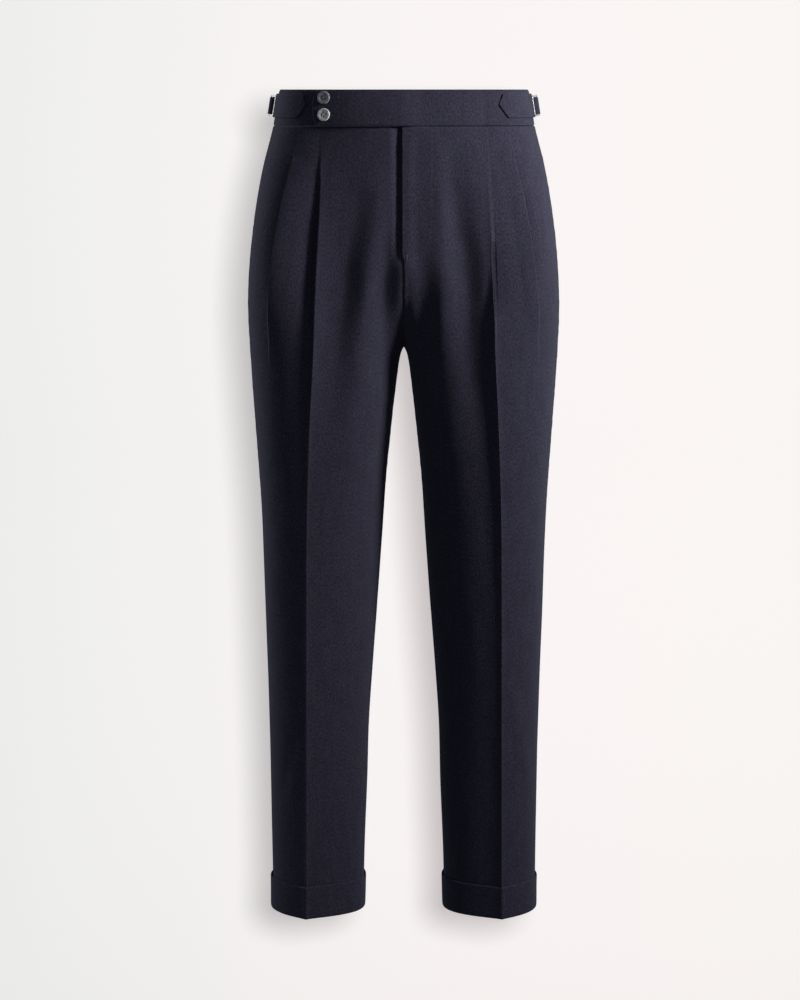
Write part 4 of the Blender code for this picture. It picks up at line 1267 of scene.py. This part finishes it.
def tab_stitches(side, material):
    """Edge stitching round an adjuster's tab."""
    tip, rear = tab_tip(side), ADJUSTER_REAR + 0.0035
    top, low = ADJUSTER_TOP_DROP, ADJUSTER_LOW_DROP
    route = (
        (rear, top + STITCH_INSET), (tip - ADJUSTER_TOP_SLANT - 0.0018, top + STITCH_INSET),
        (tip - 0.0026, ADJUSTER_TIP_DROP), (tip - ADJUSTER_LOW_SLANT - 0.0018, low - STITCH_INSET),
        (rear, low - STITCH_INSET), (rear, top + STITCH_INSET),
    )
    ways = []
    for (a, b), (c, d) in zip(route, route[1:]):
        forward, drop = np.linspace(a, c, 40), np.linspace(b, d, 40)
        crown = 0.0002 * np.sin(math.pi * np.clip((drop - top) / (low - top), 0, 1))
        points, out = face_at(side, place_of(forward), drop, LAY + TAB_THICKNESS + tab_rise(forward) + crown)
        ways += stitch_run(points, out, 0.0026, 0.0019)
    return tube_mesh("adjuster_stitches_" + side, ways, 0.00018, material, 6)


# Materials

def feed(node, inputs):
    """Set a node's inputs to constants, or link them to the outputs of other nodes."""
    for name, value in inputs.items():
        if isinstance(value, bpy.types.Node):
            value = next(socket for socket in value.outputs if socket.enabled)
        if isinstance(value, bpy.types.NodeSocket):
            node.id_data.links.new(value, node.inputs[name])
        else:
            node.inputs[name].default_value = value


def add_node(material, kind, inputs, **properties):
    """A shader node with its properties and inputs set."""
    node = material.node_tree.nodes.new("ShaderNode" + kind)
    for name, value in properties.items():
        setattr(node, name, value)
    feed(node, inputs)
    return node


def new_material(name, inputs):
    """A material and its shader, with the shader's constants set."""
    material = bpy.data.materials.new(name)
    material.use_nodes = True
    shader = material.node_tree.nodes["Principled BSDF"]
    feed(shader, inputs)
    return material, shader


def object_metres(material):
    """Coordinates in the object's own metres."""
    return add_node(material, "TexCoord", {}).outputs["Object"]


def noise(material, where, scale, detail, stretch=(1, 1, 1)):
    """Noise over the given coordinates."""
    mapping = add_node(material, "Mapping", {"Vector": where, "Scale": stretch})
    return add_node(material, "TexNoise", {"Vector": mapping, "Scale": scale, "Detail": detail})


def ramp(material, value, *stops):
    """Colours along a value."""
    node = add_node(material, "ValToRGB", {"Fac": value})
    while len(node.color_ramp.elements) < len(stops):
        node.color_ramp.elements.new(0.5)
    for element, (position, color) in zip(node.color_ramp.elements, stops):
        element.position = position
        element.color = (*color, 1.0)
    return node


def bump(material, height, distance, strength=1.0):
    """Normals of a fine relief."""
    return add_node(material, "Bump", {"Height": height, "Distance": distance, "Strength": strength})


def wool_material(name, dark, light):
    """Brushed wool twill: soft diagonal ribs, mixed fibres and a short nap."""
    material, shader = new_material(name, {
        "Roughness": 0.92, "Specular IOR Level": 0.18,
        "Sheen Weight": 0.10, "Sheen Roughness": 0.45, "Sheen Tint": WOOL_SHEEN,
    })
    uv = add_node(material, "UVMap", {}, uv_map="cut")

    def mix(first, second, factor):
        """Two colours mixed; the numbers are the node's colour sockets."""
        return add_node(material, "Mix", {0: factor, 6: first, 7: second}, data_type="RGBA")

    def times(first, second):
        """Product of two values."""
        return add_node(material, "Math", {0: first, 1: second}, operation="MULTIPLY")

    def plus(first, second):
        """Sum of two values."""
        return add_node(material, "Math", {0: first, 1: second}, operation="ADD")

    def share(value, low, high, full):
        """0 where the value is low, up to full where it is high."""
        spread_out = add_node(material, "MapRange", {"Value": value, "From Min": low, "From Max": high})
        return times(spread_out, full)

    split = add_node(material, "SeparateXYZ", {"Vector": uv})
    wander = times(noise(material, uv, 220.0, 2.0), 0.0011)
    diagonal = plus(plus(split.outputs["X"], split.outputs["Y"]), wander)
    twill = add_node(material, "Math", {0: times(diagonal, 2 * math.pi / TWILL_PITCH)}, operation="SINE")
    fibres = noise(material, uv, 1500.0, 3.0, (1.0, 0.35, 1.0))
    flecks = noise(material, uv, 520.0, 4.0, (1.0, 0.6, 1.0))
    clouds = noise(material, uv, 45.0, 3.0)
    streaks = noise(material, uv, 130.0, 3.0, (1.0, 0.22, 1.0))
    tone = mix(dark, light, share(flecks, 0.30, 0.72, 1.0))
    tone = mix(tone, light, share(fibres, 0.45, 0.80, 0.45))
    tone = mix(tone, dark, share(clouds, 0.40, 0.75, 0.22))
    tone = mix(tone, dark, share(streaks, 0.42, 0.68, 0.26))
    tone = mix(tone, dark, times(plus(twill, 1.0), 0.07))
    height = plus(plus(times(twill, 0.30), times(flecks, 1.6)), times(fibres, 0.8))
    feed(shader, {"Base Color": tone, "Normal": bump(material, height, 0.00022, 0.55)})
    return material


def horn_material(name, dark, middle, pale):
    """Polished horn: cloudy grey with streaks."""
    material, shader = new_material(name, {"Roughness": 0.52, "Coat Weight": 0.06, "Coat Roughness": 0.30})
    where = object_metres(material)
    streaks = noise(material, where, 900.0, 5.0, (1.0, 1.0, 0.6))
    feed(shader, {
        "Base Color": ramp(material, streaks, (0.30, dark), (0.52, middle), (0.72, pale)),
        "Normal": bump(material, noise(material, where, 2600.0, 3.0), 0.00003, 0.6),
    })
    return material


def metal_material(name, dark, pale):
    """Brushed metal with fine scratches."""
    material, shader = new_material(name, {"Metallic": 1.0})
    brushed = noise(material, object_metres(material), 900.0, 4.0, (1.0, 1.0, 0.05))
    feed(shader, {
        "Base Color": ramp(material, brushed, (0.30, dark), (0.70, pale)),
        "Roughness": add_node(material, "MapRange", {"Value": brushed, "To Min": 0.30, "To Max": 0.44}),
        "Normal": bump(material, brushed, 0.00002, 0.5),
    })
    return material


def thread_material(name, dark, pale):
    """Twisted thread."""
    material, shader = new_material(name, {"Roughness": 0.62, "Sheen Weight": 0.20})
    fibres = noise(material, object_metres(material), 5200.0, 2.0)
    feed(shader, {
        "Base Color": ramp(material, fibres, (0.35, dark), (0.65, pale)),
        "Normal": bump(material, fibres, 0.00006),
    })
    return material


# Stage, lights and camera

def make_stage():
    """A pale floor that sweeps up into a far backdrop, glowing with painted light that grows brighter and
    warmer from left to right.
    """
    material, shader = new_material("pale_paper_painted_light", {
        "Base Color": PAPER_BASE, "Roughness": 1.0, "Specular IOR Level": 0.0, "Emission Strength": 1.0,
    })
    split = add_node(material, "SeparateXYZ", {"Vector": object_metres(material)})
    across = add_node(material, "MapRange", {
        "Value": split, "From Min": -PAINTED_LIGHT_REACH, "From Max": PAINTED_LIGHT_REACH,
    })
    # Painted light: the glow is graded brighter and warmer from left to right across the stage
    feed(shader, {"Emission Color": ramp(material, across, *zip((0.0, 0.5, 1.0), PAPER_PAINTED_LIGHT))})
    angle = np.radians(np.linspace(0, 90, 25))
    sweep_y = BACKDROP_Y - SWEEP_RADIUS + SWEEP_RADIUS * np.sin(angle)
    sweep_z = FLOOR_Z + SWEEP_RADIUS - SWEEP_RADIUS * np.cos(angle)
    profile = [(-STAGE_REACH, FLOOR_Z), *zip(sweep_y, sweep_z), (BACKDROP_Y, STAGE_REACH)]
    points = np.array([[(x, y, z) for x in (-STAGE_REACH, STAGE_REACH)] for y, z in profile])
    stage = cloth_object("floor_and_backdrop", points, points[..., :2], material, thickness=0.0)
    stage.visible_diffuse = False
    stage.visible_glossy = False
    return stage


def make_light(name, size, power, position, target, color, stage):
    """A soft round light, for the garment alone or for the floor and backdrop alone."""
    light = bpy.data.lights.new(name, "AREA")
    light.shape = "DISK"
    light.size = size
    light.energy = power
    light.color = color
    lamp = new_object(name, light)
    lamp.location = position
    lamp.rotation_euler = (Vector(target) - Vector(position)).to_track_quat("-Z", "Y").to_euler()
    group = bpy.data.collections.new(name + "_receivers")
    group.objects.link(stage)
    if name != "shadow_caster":
        group.collection_objects[0].light_linking.link_state = "EXCLUDE"
    lamp.light_linking.receiver_collection = group


def make_camera():
    """The photo's camera, level with the waist and tilted down."""
    lens = bpy.data.cameras.new("camera")
    lens.sensor_width = SENSOR
    lens.lens = FOCAL_PIXELS * SENSOR / PHOTO_HEIGHT
    camera = new_object("camera", lens)
    camera.location = CAMERA
    camera.rotation_euler = (math.radians(90 - CAMERA_TILT), 0, 0)
    bpy.context.scene.camera = camera


def light_scene(stage):
    """The weak light from all round, and the lights."""
    world = bpy.data.worlds.new("studio")
    bpy.context.scene.world = world
    world.use_nodes = True
    feed(world.node_tree.nodes["Background"], {"Color": SKY, "Strength": SKY_STRENGTH})
    for light in LIGHTS:
        make_light(*light, stage)
    bpy.context.scene.view_settings.view_transform = "Standard"


# Putting the trousers together

def place_piece(piece, slot, *nodes):
    """Every piece rides with the one body."""
    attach(piece, "root")
    if nodes:
        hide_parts(*nodes)


def place_cloth(piece, node, sewn=()):
    """A sheet of cloth in place of its node, with what is sewn on it."""
    place_piece(piece, "wool", node)
    for extra in sewn:
        place_piece(extra, "wool")


wool = wool_material("navy_wool", WOOL_DARK, WOOL_LIGHT)
thread = thread_material("navy_thread", *THREAD)
slit_thread = thread_material("dark_thread", *SLIT_THREAD)
metal = metal_material("nickel", *NICKEL)
horn = {name: horn_material(*look) for name, look in HORN.items()}

for name, piece in make_panels(wool).items():
    kind, side = name.rsplit("_", 1)
    stitches = make_stitches(thread) if name == "front_left" else []
    place_cloth(piece, name, stitches)
for side in SIDES:
    band_name = "waistband_" + side
    holes = []
    if side == "left":
        holes = [buttonhole(name, drop, slit_thread) for name, drop in BUTTON_DROPS.items()]
    place_cloth(closed_strip(band_name, band_grid(side), wool), band_name, holes)
    tab = adjuster_tab(side, wool)
    place_cloth(tab, "adjuster_tab_" + side, [tab_stitches(side, thread)])
    place_cloth(adjuster_strap(side, wool), "adjuster_strap_" + side)
    place_cloth(cuff(side, wool), "cuff_" + side)
    place_piece(buckle(side, metal), "buckle_metal", "buckle_" + side)
for name, drop in BUTTON_DROPS.items():
    place_piece(button(name, drop, BUTTON_TURNS[name], horn[name]), "horn", name)
    place_piece(button_thread(name, drop, BUTTON_TURNS[name], thread), "wool")

make_camera()
light_scene(make_stage())
